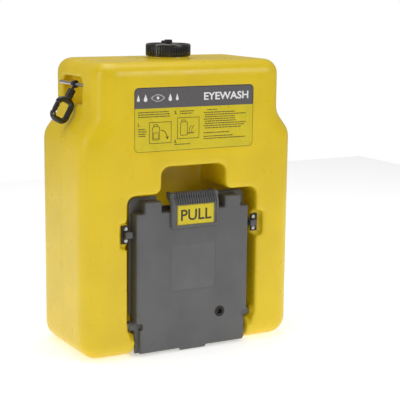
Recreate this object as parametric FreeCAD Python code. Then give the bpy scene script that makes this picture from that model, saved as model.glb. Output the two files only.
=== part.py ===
"""Portable gravity-fed eyewash station: a hollow tank with a drop-down tray that opens the water valve.

Millimetres. +X is the user's right when facing the station, +Y runs to its back, +Z is up.
The origin is the bottom centre of the closed station.
"""
import FreeCAD, Part
import math
import os

V = FreeCAD.Vector
X_AXIS = V(1, 0, 0)
Y_AXIS = V(0, 1, 0)
SIDES = {"left": -1, "right": 1}

# ---- tank ----
tank_width = 400.0
shoulder_step = 26.2
tank_depth = 197.0
tank_height = 491.5
wall = 4.0
corner_radius = 33.0
top_edge_radius = 24.0
bottom_edge_radius = 32.0
shoulder_low_drop = 123.2
shoulder_high_drop = 89.9
shoulder_low_radius = 34.0
shoulder_high_radius = 25.0
upper_width = tank_width - 2 * shoulder_step
shoulder_low = tank_height - shoulder_low_drop
shoulder_high = tank_height - shoulder_high_drop

# ---- front recesses of the tank ----
well_half_width = 123.5
well_top = 274.0
well_depth = 88.0
well_corner_radius = 14.0
pocket_half_width = 61.0
pocket_height = 44.5
pocket_flare = 13.0
label_half_width = 112.7
label_height = 106.2
label_drop = 40.2
label_recess_depth = 1.0
label_thickness = 0.8
label_corner_radius = 8.0
label_clearance = 0.4
lobe_width = 15.0
lobe_top = 41.5
lobe_slope_depth = 16.0
lobe_slope_drop = 15.0
lobe_radius = 9.0
pocket_top = well_top + pocket_height
label_top = tank_height - label_drop
label_bottom = label_top - label_height
lobe_reach = well_half_width - lobe_width

# ---- tray ----
hinge_back = 18.0
hinge_height = 51.0
tray_side_gap = 16.5
tray_top_gap = 6.0
tray_front = 0.0
tray_wall = 3.0
tray_rear = 28.0
tray_bottom = 4.0
basin_bottom = 36.0
basin_drop = 25.0
strip_inner = 60.0
strip_outer = 92.0
strip_drop = 6.0
apron_rear = 14.0
apron_step = 6.5
tab_half_width = 25.0
tab_bottom = 0.6
tray_edge_radius = 4.0
flange_side = 4.0
flange_thickness = 3.0
flange_bottom = 61.0
flange_corner_radius = 12.0
flange_dip = 18.0
notch_width = 11.0
notch_bottom = 46.0
notch_top = 57.0
notch_depth = 9.0
badge_half_width = 42.5
badge_bottom = 105.6
badge_top = 184.3
badge_depth = 1.4
badge_corner_radius = 4.0
drain_x = 51.8
drain_height = 61.0
drain_radius = 6.3
grommet_radius = 9.5
grommet_lip = 0.8
grommet_wall = 1.3
tray_half_width = well_half_width - tray_side_gap
flange_half_width = tray_half_width + flange_side
flange_top = well_top - tray_top_gap
flange_front = tray_rear - flange_thickness
strip_top = flange_top - strip_drop
basin_top = flange_top - basin_drop

# ---- hinge ----
pin_radius = 4.0
pin_clearance = 0.05
bush_radius = 5.5
knuckle_radius = 8.5
knuckle_length = 9.7
hinge_gap = 0.8
boss_radius = 9.0
pin_depth = 23.0
knuckle_end = tray_half_width + knuckle_length
boss_start = knuckle_end + hinge_gap
pin_end = boss_start + pin_depth

# ---- handle ----
handle_half_width = 45.5
handle_front = -7.0
handle_rear = 23.0
handle_height = 60.0
handle_rise = 7.0
handle_lip = 9.0
pull_label_half_width = 35.4
pull_label_foot = 4.5
pull_label_height = 34.7
pull_label_thickness = 0.8
pull_label_clearance = 0.2
handle_screw_x = 30.0
handle_screw_rise = 17.0
handle_screw_radius = 2.0
handle_head_radius = 4.2
handle_head_height = 2.6
handle_top = flange_top + handle_rise
handle_bottom = handle_top - handle_height
pull_label_bottom = handle_bottom + pull_label_foot
pull_label_top = pull_label_bottom + pull_label_height
handle_screw_height = handle_bottom + handle_screw_rise

# ---- catches ----
catch_drop = 64.6
catch_pocket_side = 13.5
catch_pocket_below = 22.4
catch_pocket_above = 21.6
plate_overlap = 5.1
plate_width = 12.2
plate_front = 10.0
plate_thickness = 3.0
plate_below = 14.9
plate_above = 15.6
ledge_margin = 0.9
ledge_below = 19.4
ledge_above = 19.1
ledge_depth = 35.0
catch_screw_inset = 1.0
catch_screw_spacing = 18.8
catch_screw_radius = 1.8
catch_screw_grip = 12.0
catch_head_radius = 3.6
catch_edge = 1.5
thumb_overlap = 10.0
thumb_width = 12.5
thumb_front = 2.5
thumb_height = 10.4
bolt_height = 10.0
bolt_cover = 2.0
bolt_side_gap = 1.0
bolt_tail_reach = 8.5
bolt_thickness = 6.0
bolt_travel = 5.0
bolt_clearance = 0.3
link_width = 5.1
spring_room = 7.5
spring_radius = 3.0
spring_wire = 0.9
spring_turns = 4
catch_height = well_top - catch_drop
catch_pocket_reach = well_half_width + catch_pocket_side
plate_inner = well_half_width - plate_overlap
plate_outer = plate_inner + plate_width
plate_rear = plate_front + plate_thickness
ledge_reach = plate_inner - ledge_margin
catch_screw_x = well_half_width - catch_screw_inset
screw_tip = plate_rear + catch_screw_grip
thumb_inner = well_half_width - thumb_overlap
thumb_outer = thumb_inner + thumb_width
link_inner = thumb_inner + 1
link_outer = link_inner + link_width
bolt_front = plate_rear + bolt_cover
bolt_nose = flange_half_width + bolt_side_gap
bolt_tail = well_half_width + bolt_tail_reach
channel_end = bolt_tail + spring_room

# ---- filler neck, cap and vent ----
neck_radius = 32.4
neck_bore = 27.0
neck_rise = 18.5
collar_radius = 35.8
collar_rise = 3.5
cap_radius = 38.5
cap_seat_gap = 0.4
cap_height = 19.6
cap_edge_radius = 2.5
cap_rim_inset = 3.0
cap_rim_width = 2.5
cap_rim_height = 1.2
cap_clearance = 0.3
gasket_thickness = 1.6
vent_stem_radius = 3.0
vent_clearance = 0.05
vent_head_radius = 7.0
vent_head_height = 6.8
vent_washer_radius = 6.0
vent_washer_thickness = 0.8
vent_arm_length = 12.5
vent_arm_width = 4.0
vent_arm_height = 3.4
vent_clip_width = 2.2
vent_clip_thickness = 1.2
vent_clip_gap = 0.4
neck_back = tank_depth / 2
neck_top = tank_height + neck_rise
collar_top = tank_height + collar_rise
cap_bottom = collar_top + cap_seat_gap
cap_top = cap_bottom + cap_height
vent_top = cap_top + vent_washer_thickness + vent_head_height

# ---- water path ----
valve_radius = 11.0
valve_half_length = 30.0
valve_bore = 6.5
spool_clearance = 0.05
spool_bore = 3.5
seal_spacing = 28.0
seal_wire = 0.9
seal_clearance = 0.05
bay_half_width = 33.0
bay_top = 64.0
socket_radius = 10.0
socket_end = 40.0
tube_radius = 7.0
tube_bore = 5.0
tube_insert = 8.0
fitting_reach = 14.0
fitting_radius = 10.0
fitting_flange_radius = 17.0
fitting_flange = 4.0
outlet_gasket_thickness = 2.0
nut_across_flats = 30.0
nut_thickness = 7.0
strainer_radius = 12.0
strainer_length = 26.0
strainer_wall = 1.5
strainer_slots = 5
slot_pitch = 4.0
slot_width = 1.6
slot_height = 12.0
pipe_radius = 6.0
pipe_bore = 4.0
pipe_bend = 11.0
pipe_plug = 3.0
clip_half_length = 5.0
clip_side = 3.0
clip_height = 105.0
riser_x = -60.0
manifold_height = 150.0
nozzle_spacing = 80.0
manifold_overhang = 8.0
port_radius = 3.0
nozzle_neck_length = 14.0
screen_thickness = 1.6
screen_hole_radius = 1.1
screen_rings = ((4.5, 6), (9.0, 12))
nozzle_base_radius = 9.0
nozzle_cup_radius = 15.0
nozzle_rear = 52.0
nozzle_wall = 2.0
fitting_mouth = well_depth - fitting_reach
spool_left = -(bay_half_width + tray_wall + 10)
manifold_end = nozzle_spacing / 2 + manifold_overhang

# ---- hooks ----
hook_pocket_ahead = 26.5
hook_pocket_behind = 51.5
hook_pocket_below = 32.0
hook_pocket_above = 12.0
hook_pocket_depth = 22.0
anchor_radius = 3.0
anchor_inset = 0.8
anchor_drop = 39.5
anchor_socket = 8.0
hook_tilt = 29.0
eye_radius = 6.5
eye_half_width = 4.0
swivel_radius = 2.5
swivel_head_radius = 4.5
barrel_radius = 6.5
barrel_start = 10.0
barrel_end = 27.0
loop_centre = 48.0
loop_half_width = 12.5
loop_half_length = 17.5
loop_corner = 9.0
loop_bar = 5.0
gate_bar = 4.2
gate_gap = 0.4
gate_tongue = 3.6
gate_pin_radius = 1.5
pivot_drop = 4.0
gate_eye_radius = 3.4
hook_back = tank_depth / 2
hook_pocket_front = hook_back - hook_pocket_ahead
hook_pocket_rear = hook_back + hook_pocket_behind
anchor_x = upper_width / 2 - anchor_inset
anchor_height = tank_height - anchor_drop
hook_pocket_bottom = anchor_height - hook_pocket_below
hook_pocket_top = anchor_height + hook_pocket_above
gate_low = -(loop_half_length - loop_corner)
gate_high = -gate_low
pivot_height = gate_low - pivot_drop

front_y = -(tank_depth + handle_front) / 2


def depth(distance):
    """Y of a plane that lies the given distance behind the tank's front face."""
    return front_y + distance


def block(x0, x1, d0, d1, z0, z1):
    """Box between two X values, two depths behind the front face and two heights."""
    low_x = min(x0, x1)
    return Part.makeBox(abs(x1 - x0), d1 - d0, z1 - z0, V(low_x, depth(d0), z0))


def rod(radius, start, end):
    """Solid cylinder from one point to another."""
    along = end.sub(start)
    return Part.makeCylinder(radius, along.Length, start, along)


def tube(outer, inner, start, end):
    return rod(outer, start, end).cut(rod(inner, start, end))


def fuse(shapes):
    result = shapes[0]
    if len(shapes) > 1:
        result = result.multiFuse(shapes[1:])
    return result.removeSplitter()


def mirror_x(shape):
    return shape.mirror(V(0, 0, 0), X_AXIS)


def one_side(shape, side):
    """A shape drawn on the right, moved to the named side."""
    if side == "right":
        return shape
    return mirror_x(shape)


def save(shape, node):
    shape.exportStep("parts/" + node + ".step")


def rounded_outline(corners):
    """Closed wire through (point, radius) corners, each corner turned by an arc."""
    count = len(corners)
    starts = []
    ends = []
    middles = []
    for index, (point, radius) in enumerate(corners):
        before = corners[index - 1][0].sub(point).normalize()
        after = corners[(index + 1) % count][0].sub(point).normalize()
        if radius == 0:
            starts.append(point)
            ends.append(point)
            middles.append(None)
            continue
        half_turn = before.getAngle(after) / 2
        tangent = radius / math.tan(half_turn)
        bisector = before.add(after).normalize()
        to_middle = radius / math.sin(half_turn) - radius
        starts.append(point.add(V(before).multiply(tangent)))
        ends.append(point.add(V(after).multiply(tangent)))
        middles.append(point.add(bisector.multiply(to_middle)))
    edges = []
    for index in range(count):
        if middles[index] is not None:
            edges.append(Part.Arc(starts[index], middles[index], ends[index]).toShape())
        following = (index + 1) % count
        if ends[index].distanceToPoint(starts[following]) > 1e-6:
            edges.append(Part.LineSegment(ends[index], starts[following]).toShape())
    return Part.Wire(edges)


def rounded_panel(half_width, z0, z1, d0, d1, radius, low_radius=None):
    """Upright plate with rounded corners, centred on X; its lower corners may have their own radius."""
    y = depth(d0)
    low = radius if low_radius is None else low_radius
    corners = [(V(-half_width, y, z0), low), (V(half_width, y, z0), low),
               (V(half_width, y, z1), radius), (V(-half_width, y, z1), radius)]
    return Part.Face(rounded_outline(corners)).extrude(V(0, d1 - d0, 0))


def edges_where(shape, test):
    return [edge for edge in shape.Edges if test(edge.BoundBox)]


def tank_form(inset):
    """The tank's outer form, or the same form drawn in by an inset all round."""
    half_low = tank_width / 2 - inset
    half_high = upper_width / 2 - inset
    slope = math.atan2((tank_width - upper_width) / 2, shoulder_high - shoulder_low)
    drop = inset * math.tan(slope / 2)
    bottom = inset
    top = tank_height - inset
    y = front_y + inset
    low = shoulder_low - drop
    high = shoulder_high - drop
    convex = shoulder_low_radius - inset
    concave = shoulder_high_radius + inset
    corners = [(V(-half_low, y, bottom), 0), (V(half_low, y, bottom), 0),
               (V(half_low, y, low), convex), (V(half_high, y, high), concave),
               (V(half_high, y, top), 0), (V(-half_high, y, top), 0),
               (V(-half_high, y, high), concave), (V(-half_low, y, low), convex)]
    form = Part.Face(rounded_outline(corners)).extrude(V(0, tank_depth - 2 * inset, 0))

    def on_side(box):
        flat = box.YLength < 0.01
        return flat and not (box.ZLength < 0.01)

    form = form.makeFillet(corner_radius - inset, edges_where(form, on_side))
    form = form.makeFillet(top_edge_radius - inset, edges_where(form, lambda box: box.ZMin > top - 0.01))
    return form.makeFillet(bottom_edge_radius - inset,
                           edges_where(form, lambda box: box.ZMax < bottom + 0.01))


def lobe_slope(sign, grow):
    """Wedge that slopes a lobe's top down towards the tank's front."""
    x = sign * (lobe_reach - 5)
    ahead = 5
    fall = lobe_slope_drop * ahead / lobe_slope_depth
    corners = [V(x, depth(-ahead), lobe_top - lobe_slope_drop - fall - grow),
               V(x, depth(lobe_slope_depth), lobe_top - grow),
               V(x, depth(lobe_slope_depth), lobe_top + 5), V(x, depth(-ahead), lobe_top + 5)]
    side = Part.Face(Part.makePolygon(corners + corners[:1]))
    return side.extrude(V(sign * (lobe_width + 5 - lobe_radius / 2 + grow), 0, 0))


def front_recess(grow):
    """Well for the tray, narrower between the lobes below it, with the finger pocket above."""
    reach = well_depth + grow
    radius = well_corner_radius + grow
    well = rounded_panel(well_half_width + grow, lobe_top - grow, well_top + grow, -5, reach,
                         radius, lobe_radius + grow)
    mouth = block(-lobe_reach - grow, lobe_reach + grow, -5, reach, -60, lobe_top + 60)
    pocket = rounded_panel(pocket_half_width + grow, well_top - 60, pocket_top + grow, -5, reach, radius)
    slopes = [lobe_slope(sign, grow) for sign in SIDES.values()]
    recess = fuse([well, mouth, pocket] + slopes)

    def under_pocket(box):
        at_side = abs(abs(box.XMin) - pocket_half_width - grow) < 0.01 and box.XLength < 0.01
        return at_side and abs(box.ZMin - well_top - grow) < 0.01 and box.ZLength < 0.01

    return recess.makeFillet(pocket_flare - grow, edges_where(recess, under_pocket))


def catch_pocket(grow):
    shapes = []
    for sign in SIDES.values():
        shapes.append(block(sign * (well_half_width - 2), sign * (catch_pocket_reach + grow), -5,
                            plate_rear + grow, catch_height - catch_pocket_below - grow,
                            catch_height + catch_pocket_above + grow))
    return shapes


def catch_channel(grow):
    """Blind bore that the bolt slides in, under a cover, with a slot for its link behind the catch plate."""
    side = bolt_clearance + grow
    half = bolt_height / 2 + side
    shapes = []
    for sign in SIDES.values():
        shapes.append(block(sign * (ledge_reach - 5), sign * (channel_end + grow), bolt_front - side,
                            bolt_front + bolt_thickness + side, catch_height - half, catch_height + half))
        shapes.append(block(sign * (ledge_reach - 5), sign * (link_outer + bolt_travel + side),
                            plate_rear - 1, bolt_front + 1, catch_height - half, catch_height + half))
    return shapes


def hook_pocket(grow):
    shapes = []
    surface = upper_width / 2
    for sign in SIDES.values():
        shapes.append(block(sign * (surface - hook_pocket_depth - grow), sign * (surface + 20),
                            hook_pocket_front - grow, hook_pocket_rear + grow,
                            hook_pocket_bottom - grow, hook_pocket_top + grow))
    return shapes


def anchor_line(sign, extra):
    """Axis of the bar that a hook hangs on, from its front end to its rear end."""
    start = V(sign * anchor_x, depth(hook_pocket_front - extra), anchor_height)
    end = V(sign * anchor_x, depth(hook_pocket_rear + extra), anchor_height)
    return start, end


def hinge_line(sign, start, end):
    """Part of the tray's hinge axis between two distances from the centre."""
    y = depth(hinge_back)
    return V(sign * start, y, hinge_height), V(sign * end, y, hinge_height)


def tank_shell():
    centre = V(0, depth(neck_back), 0)
    recess = front_recess(0)
    outer = tank_form(0).cut(recess)
    additions = [outer]
    for sign in SIDES.values():
        additions.append(block(sign * ledge_reach, sign * (well_half_width + 1),
                               plate_rear, ledge_depth, catch_height - ledge_below,
                               catch_height + ledge_above))
        start, end = hinge_line(sign, boss_start, well_half_width + 1)
        additions.append(rod(boss_radius, start, end))
    additions.append(rod(collar_radius, centre + V(0, 0, tank_height - 6), centre + V(0, 0, collar_top)))
    additions.append(rod(neck_radius, centre + V(0, 0, tank_height - 6), centre + V(0, 0, neck_top)))
    solid = fuse(additions)

    blocked = [front_recess(wall)] + catch_pocket(wall) + catch_channel(wall) + hook_pocket(wall)
    for sign in SIDES.values():
        start, end = anchor_line(sign, anchor_socket + wall)
        blocked.append(rod(anchor_radius + wall, start, end))
        start, end = hinge_line(sign, boss_start, pin_end + wall)
        blocked.append(rod(boss_radius, start, end))
    cavity = tank_form(wall).cut(fuse(blocked))

    label = rounded_panel(label_half_width, label_bottom, label_top, -5, label_recess_depth,
                          label_corner_radius)
    cuts = [cavity, label] + catch_pocket(0) + catch_channel(0) + hook_pocket(0)
    for sign in SIDES.values():
        start, end = anchor_line(sign, anchor_socket)
        cuts.append(rod(anchor_radius, start, end))
        start, end = hinge_line(sign, boss_start - 1, pin_end)
        cuts.append(rod(pin_radius, start, end))
        for height in catch_screw_heights():
            cuts.append(rod(catch_screw_radius, V(sign * catch_screw_x, depth(0), height),
                            V(sign * catch_screw_x, depth(screw_tip), height)))
    cuts.append(rod(neck_bore, centre + V(0, 0, tank_height - 10), centre + V(0, 0, neck_top + 5)))
    cuts.append(rod(fitting_radius, V(0, depth(well_depth - 5), hinge_height),
                    V(0, depth(well_depth + wall + 5), hinge_height)))
    return solid.cut(fuse(cuts)).removeSplitter()


def catch_screw_heights():
    return [catch_height - catch_screw_spacing / 2, catch_height + catch_screw_spacing / 2]


def instruction_label():
    half = label_half_width - label_clearance
    return rounded_panel(half, label_bottom + label_clearance, label_top - label_clearance,
                         label_recess_depth - label_thickness, label_recess_depth,
                         label_corner_radius - label_clearance)


def catch_plate(side):
    plate = block(plate_inner, plate_outer, plate_front, plate_rear, catch_height - plate_below,
                  catch_height + plate_above)
    half = bolt_height / 2 + 2 * bolt_clearance
    notch = block(plate_inner - 1, link_outer + bolt_travel + 1, plate_front - 1,
                  plate_rear + 1, catch_height - half, catch_height + half)
    plate = plate.cut(notch)
    for height in catch_screw_heights():
        plate = plate.cut(rod(catch_screw_radius, V(catch_screw_x, depth(0), height),
                              V(catch_screw_x, depth(screw_tip), height)))
    return one_side(plate, side)


def catch_screws():
    shapes = []
    for sign in SIDES.values():
        for height in catch_screw_heights():
            x = sign * catch_screw_x
            face = V(x, depth(plate_front), height)
            head = rod(catch_head_radius, face + V(0, -1.8, 0), face)
            crown = head.makeFillet(1.2, edges_where(head, lambda box: box.YMax < depth(plate_front - 1.7)))
            shank = rod(catch_screw_radius, face, V(x, depth(screw_tip), height))
            shapes.append(fuse([crown, shank]))
    return Part.makeCompound(shapes)


def catch_bolt(side):
    """Sliding bolt with a thumb piece in front of the plate and a nose behind it."""
    half = bolt_height / 2
    gap = bolt_clearance
    thumb = block(thumb_inner, thumb_outer, thumb_front, plate_front - gap,
                  catch_height - thumb_height / 2, catch_height + thumb_height / 2)
    front_edges = edges_where(thumb, lambda box: box.YMax < depth(thumb_front) + 0.01)
    thumb = thumb.makeFillet(catch_edge, front_edges)
    link = block(link_inner, link_outer, plate_front - 1, bolt_front + 1,
                 catch_height - half, catch_height + half)
    nose = block(bolt_nose, bolt_tail, bolt_front, bolt_front + bolt_thickness,
                 catch_height - half, catch_height + half)
    tip = edges_where(nose, lambda box: box.XMax < bolt_nose + 0.01 and box.ZLength > 1)
    nose = nose.makeChamfer(catch_edge, tip)
    return one_side(fuse([thumb, link, nose]), side)


def catch_spring(side):
    """Compression spring between the bolt's tail and the end of its channel."""
    y = depth(bolt_front + bolt_thickness / 2)
    length = channel_end - bolt_tail - bolt_clearance
    rise = length - spring_wire
    mean_radius = spring_radius - spring_wire / 2
    path = Part.makeHelix(rise / spring_turns, rise, mean_radius)
    circle = Part.Circle(V(mean_radius, 0, 0), Y_AXIS, spring_wire / 2)
    coil = Part.Wire(path).makePipeShell([Part.Wire(circle.toShape())], True, True)
    coil.rotate(V(0, 0, 0), Y_AXIS, 90)
    coil.translate(V(bolt_tail + bolt_clearance / 2 + spring_wire / 2, y, catch_height))
    return one_side(coil, side)


def anchor_bar(side):
    start, end = anchor_line(SIDES[side], anchor_socket)
    return rod(anchor_radius, start, end)


def hinge_pin(side):
    start, end = hinge_line(SIDES[side], tray_half_width - tray_wall + 0.5, pin_end)
    return rod(pin_radius, start, end)


def hinge_bush(side):
    start, end = hinge_line(SIDES[side], tray_half_width - tray_wall, knuckle_end)
    return tube(bush_radius, pin_radius + pin_clearance, start, end)


def tray_body(inset):
    """Outer form of the basin and apron, or the hollow inside them."""
    half = tray_half_width - inset
    front = tray_front + inset
    rear = tray_rear + (40 if inset else 0)
    apron = apron_rear + (40 if inset else 0)
    shapes = [block(-half, half, front, rear, basin_bottom + inset, basin_top - inset),
              block(-half, half, front, apron, tray_bottom + inset, basin_bottom)]
    for sign in SIDES.values():
        shapes.append(block(sign * (strip_inner + inset), sign * (strip_outer - inset), front, rear,
                            basin_top - 20, strip_top - inset))
    return fuse(shapes)


def corner_steps(grow):
    """Notch beside each hinge, with the narrower apron below it; grown, the room that their walls need."""
    shapes = []
    for sign in SIDES.values():
        outside = sign * (tray_half_width + 5)
        shapes.append(block(sign * (tray_half_width - notch_width - grow), outside, tray_front - 5,
                            tray_front + notch_depth + grow, notch_bottom - grow, notch_top + grow))
        shapes.append(block(sign * (tray_half_width - apron_step - grow), outside, tray_front - 5,
                            tray_front + notch_depth + grow, -5, notch_bottom + grow))
    return shapes


def tray_shell():
    outer = tray_body(0)
    front = depth(tray_front)
    rim = [edge for edge in outer.Edges
           if edge.BoundBox.YMax < front + 0.01 and edge.BoundBox.YLength < 0.01]
    outer = outer.makeFillet(tray_edge_radius, rim)
    tab = block(-tab_half_width, tab_half_width, tray_front + 1, tray_front + tray_wall, tab_bottom,
                tray_bottom + 8)
    flange = rounded_panel(flange_half_width, flange_bottom, flange_top, flange_front,
                           flange_front + flange_thickness, flange_corner_radius)
    flange = flange.cut(block(-strip_inner + 2, strip_inner - 2, 0, tray_rear + 12,
                              flange_top - flange_dip, flange_top + 5))
    solids = [outer, tab, flange]
    for sign in SIDES.values():
        start, end = hinge_line(sign, tray_half_width - tray_wall, knuckle_end)
        solids.append(rod(knuckle_radius, start, end))
    tray = fuse(solids)

    hollow = tray_body(tray_wall).cut(fuse(corner_steps(tray_wall)))
    bay_outer = block(-bay_half_width - tray_wall, bay_half_width + tray_wall, 0, 100,
                      -20, bay_top + tray_wall)
    hollow = hollow.cut(bay_outer)
    shelf = block(-tray_half_width, tray_half_width, 0, 100, basin_bottom, basin_bottom + tray_wall)
    hollow = hollow.cut(shelf)
    bay = block(-bay_half_width, bay_half_width, tray_front + tray_wall, 100, -20, bay_top)
    badge = rounded_panel(badge_half_width, badge_bottom, badge_top, -5, tray_front + badge_depth,
                          badge_corner_radius)
    cuts = [hollow, bay, badge] + corner_steps(0)
    cuts.append(rod(drain_radius, V(drain_x, depth(0), drain_height), V(drain_x, depth(20), drain_height)))
    cuts.append(rod(grommet_radius, V(drain_x, depth(0), drain_height),
                    V(drain_x, depth(tray_front + grommet_lip), drain_height)))
    for sign in SIDES.values():
        start, end = hinge_line(sign, tray_half_width - tray_wall - 1, knuckle_end + 1)
        cuts.append(rod(bush_radius, start, end))
        cuts.append(rod(handle_screw_radius, V(sign * handle_screw_x, depth(0), handle_screw_height),
                        V(sign * handle_screw_x, depth(12), handle_screw_height)))
    start, end = hinge_line(1, -bay_half_width - 5, bay_half_width + 5)
    cuts.append(rod(valve_bore - spool_clearance, start, end))
    return tray.cut(fuse(cuts)).removeSplitter()


def handle_profile():
    """Side view of the handle, from its foot round its front and its finger lip."""
    x = -handle_half_width
    corners = [((tray_front, handle_bottom), 0), ((handle_front, handle_bottom), 3),
               ((handle_front, handle_top - 19), 14), ((-1, handle_top), 7),
               ((handle_rear, handle_top - 1), 3), ((handle_rear - 1, handle_top - handle_lip), 2),
               ((tray_front, handle_top - 2 * handle_lip), 6)]
    return [(V(x, depth(d), z), radius) for (d, z), radius in corners]


def pull_handle():
    handle = Part.Face(rounded_outline(handle_profile())).extrude(V(2 * handle_half_width, 0, 0))
    recess = block(-pull_label_half_width, pull_label_half_width, handle_front - 5,
                   handle_front + pull_label_thickness - pull_label_clearance,
                   pull_label_bottom, pull_label_top)
    handle = handle.cut(recess)
    for sign in SIDES.values():
        handle = handle.cut(rod(handle_screw_radius, V(sign * handle_screw_x, depth(-4), handle_screw_height),
                                V(sign * handle_screw_x, depth(12), handle_screw_height)))
    return handle


def pull_label():
    gap = pull_label_clearance
    return block(-pull_label_half_width + gap, pull_label_half_width - gap, handle_front,
                 handle_front + pull_label_thickness - gap, pull_label_bottom + gap, pull_label_top - gap)


def handle_screws():
    inner_face = tray_front + tray_wall
    shapes = []
    for sign in SIDES.values():
        x = sign * handle_screw_x
        shank = rod(handle_screw_radius, V(x, depth(-4), handle_screw_height),
                    V(x, depth(inner_face), handle_screw_height))
        head = rod(handle_head_radius, V(x, depth(inner_face), handle_screw_height),
                   V(x, depth(inner_face + handle_head_height), handle_screw_height))
        shapes.append(fuse([shank, head]))
    return Part.makeCompound(shapes)


def drain_grommet():
    inner_face = tray_front + tray_wall
    lip = rod(grommet_radius, V(drain_x, depth(tray_front), drain_height),
              V(drain_x, depth(tray_front + grommet_lip), drain_height))
    sleeve = rod(drain_radius, V(drain_x, depth(tray_front), drain_height),
                 V(drain_x, depth(inner_face + 2), drain_height))
    bore = rod(drain_radius - grommet_wall, V(drain_x, depth(0), drain_height),
               V(drain_x, depth(20), drain_height))
    return fuse([lip, sleeve]).cut(bore)


def valve_body():
    start, end = hinge_line(1, -valve_half_length, valve_half_length)
    axis = V(0, depth(hinge_back), hinge_height)
    socket_face = V(0, depth(socket_end), hinge_height)
    tube_stop = V(0, depth(socket_end - tube_insert), hinge_height)
    body = fuse([rod(valve_radius, start, end), rod(socket_radius, axis, socket_face)])
    cuts = [rod(valve_bore, start + V(-1, 0, 0), end + V(1, 0, 0)),
            rod(tube_radius, tube_stop, socket_face + V(0, 1, 0)), rod(tube_bore, axis, tube_stop)]
    return body.cut(fuse(cuts))


def spool_seats():
    return [-seal_spacing / 2, seal_spacing / 2]


def seal_ring(x):
    centre = V(x, depth(hinge_back), hinge_height)
    mean_radius = valve_bore - spool_clearance - seal_wire
    return Part.makeTorus(mean_radius, seal_wire - seal_clearance, centre, X_AXIS)


def seal_groove(x):
    centre = V(x, depth(hinge_back), hinge_height)
    half = V(seal_wire, 0, 0)
    return tube(valve_bore + 1, valve_bore - spool_clearance - 2 * seal_wire, centre - half, centre + half)


def valve_spool():
    """Rotor that turns with the tray and lines its port up with the supply when the tray is down."""
    start, end = hinge_line(1, spool_left, bay_half_width + tray_wall)
    axis = V(0, depth(hinge_back), hinge_height)
    spool = rod(valve_bore - spool_clearance, start, end)
    bore = rod(spool_bore, start + V(-1, 0, 0), axis + V(4, 0, 0))
    port = rod(port_radius, axis, axis + V(0, 0, -12))
    return spool.cut(fuse([bore, port])).cut(Part.makeCompound([seal_groove(x) for x in spool_seats()]))


def valve_seals():
    return Part.makeCompound([seal_ring(x) for x in spool_seats()])


def supply_tube():
    start = V(0, depth(socket_end - tube_insert), hinge_height)
    end = V(0, depth(fitting_mouth + tube_insert), hinge_height)
    return tube(tube_radius, tube_bore, start, end)


def outlet_fitting():
    inside = well_depth + wall + outlet_gasket_thickness
    mouth = V(0, depth(fitting_mouth), hinge_height)
    face = V(0, depth(inside), hinge_height)
    rear = V(0, depth(inside + fitting_flange), hinge_height)
    stop = V(0, depth(fitting_mouth + tube_insert), hinge_height)
    body = fuse([rod(fitting_radius, mouth, rear), rod(fitting_flange_radius, face, rear)])
    cuts = [rod(tube_radius, mouth + V(0, -1, 0), stop), rod(tube_bore, stop, rear + V(0, 1, 0))]
    return body.cut(fuse(cuts))


def outlet_gasket():
    face = V(0, depth(well_depth + wall), hinge_height)
    return tube(fitting_flange_radius, fitting_radius, face, face + V(0, outlet_gasket_thickness, 0))


def outlet_nut():
    face = V(0, depth(well_depth - nut_thickness), hinge_height)
    corner = nut_across_flats / math.sqrt(3)
    points = [face + V(corner * math.cos(math.radians(60 * k)), 0, corner * math.sin(math.radians(60 * k)))
              for k in range(7)]
    nut = Part.Face(Part.makePolygon(points)).extrude(V(0, nut_thickness, 0))
    return nut.cut(rod(fitting_radius, face + V(0, -1, 0), face + V(0, nut_thickness + 1, 0)))


def strainer():
    """Slotted cup over the outlet, on the wet side."""
    start = V(0, depth(well_depth + wall + outlet_gasket_thickness + fitting_flange), hinge_height)
    end = start + V(0, strainer_length, 0)
    inside = rod(strainer_radius - strainer_wall, start, end - V(0, strainer_wall, 0))
    cup = rod(strainer_radius, start, end).cut(inside)
    slots = []
    for step in range(strainer_slots):
        y = start.y + (step + 1) * slot_pitch
        for angle in (0, 90):
            corner = V(-strainer_radius - 2, y, hinge_height - slot_height / 2)
            slot = Part.makeBox(2 * strainer_radius + 4, slot_width, slot_height, corner)
            slot.rotate(V(0, y, hinge_height), Y_AXIS, angle)
            slots.append(slot)
    return cup.cut(fuse(slots))


def pipe_path():
    """Centre line from the spool's end, up beside the valve and across to the far nozzle."""
    y = depth(hinge_back)
    points = [V(spool_left, y, hinge_height), V(riser_x, y, hinge_height),
              V(riser_x, y, manifold_height), V(manifold_end, y, manifold_height)]
    edges = []
    start = points[0]
    for index in (1, 2):
        corner = points[index]
        back = points[index - 1].sub(corner).normalize()
        ahead = points[index + 1].sub(corner).normalize()
        first = corner.add(V(back).multiply(pipe_bend))
        last = corner.add(V(ahead).multiply(pipe_bend))
        centre = first.add(V(ahead).multiply(pipe_bend))
        middle = centre.add(corner.sub(centre).normalize().multiply(pipe_bend))
        edges.append(Part.LineSegment(start, first).toShape())
        edges.append(Part.Arc(first, middle, last).toShape())
        start = last
    edges.append(Part.LineSegment(start, points[-1]).toShape())
    return Part.Wire(edges)


def swept(radius):
    path = pipe_path()
    start = path.Edges[0].Vertexes[0].Point
    circle = Part.Wire(Part.Circle(start, X_AXIS, radius).toShape())
    return path.makePipeShell([circle], True, False)


def nozzle_axis(sign):
    return sign * nozzle_spacing / 2


def manifold_run():
    """Outside of the level pipe, with its closed end, for pieces that sit on it."""
    y = depth(hinge_back)
    return rod(pipe_radius, V(riser_x + pipe_bend, y, manifold_height),
               V(manifold_end + pipe_plug, y, manifold_height))


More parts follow.
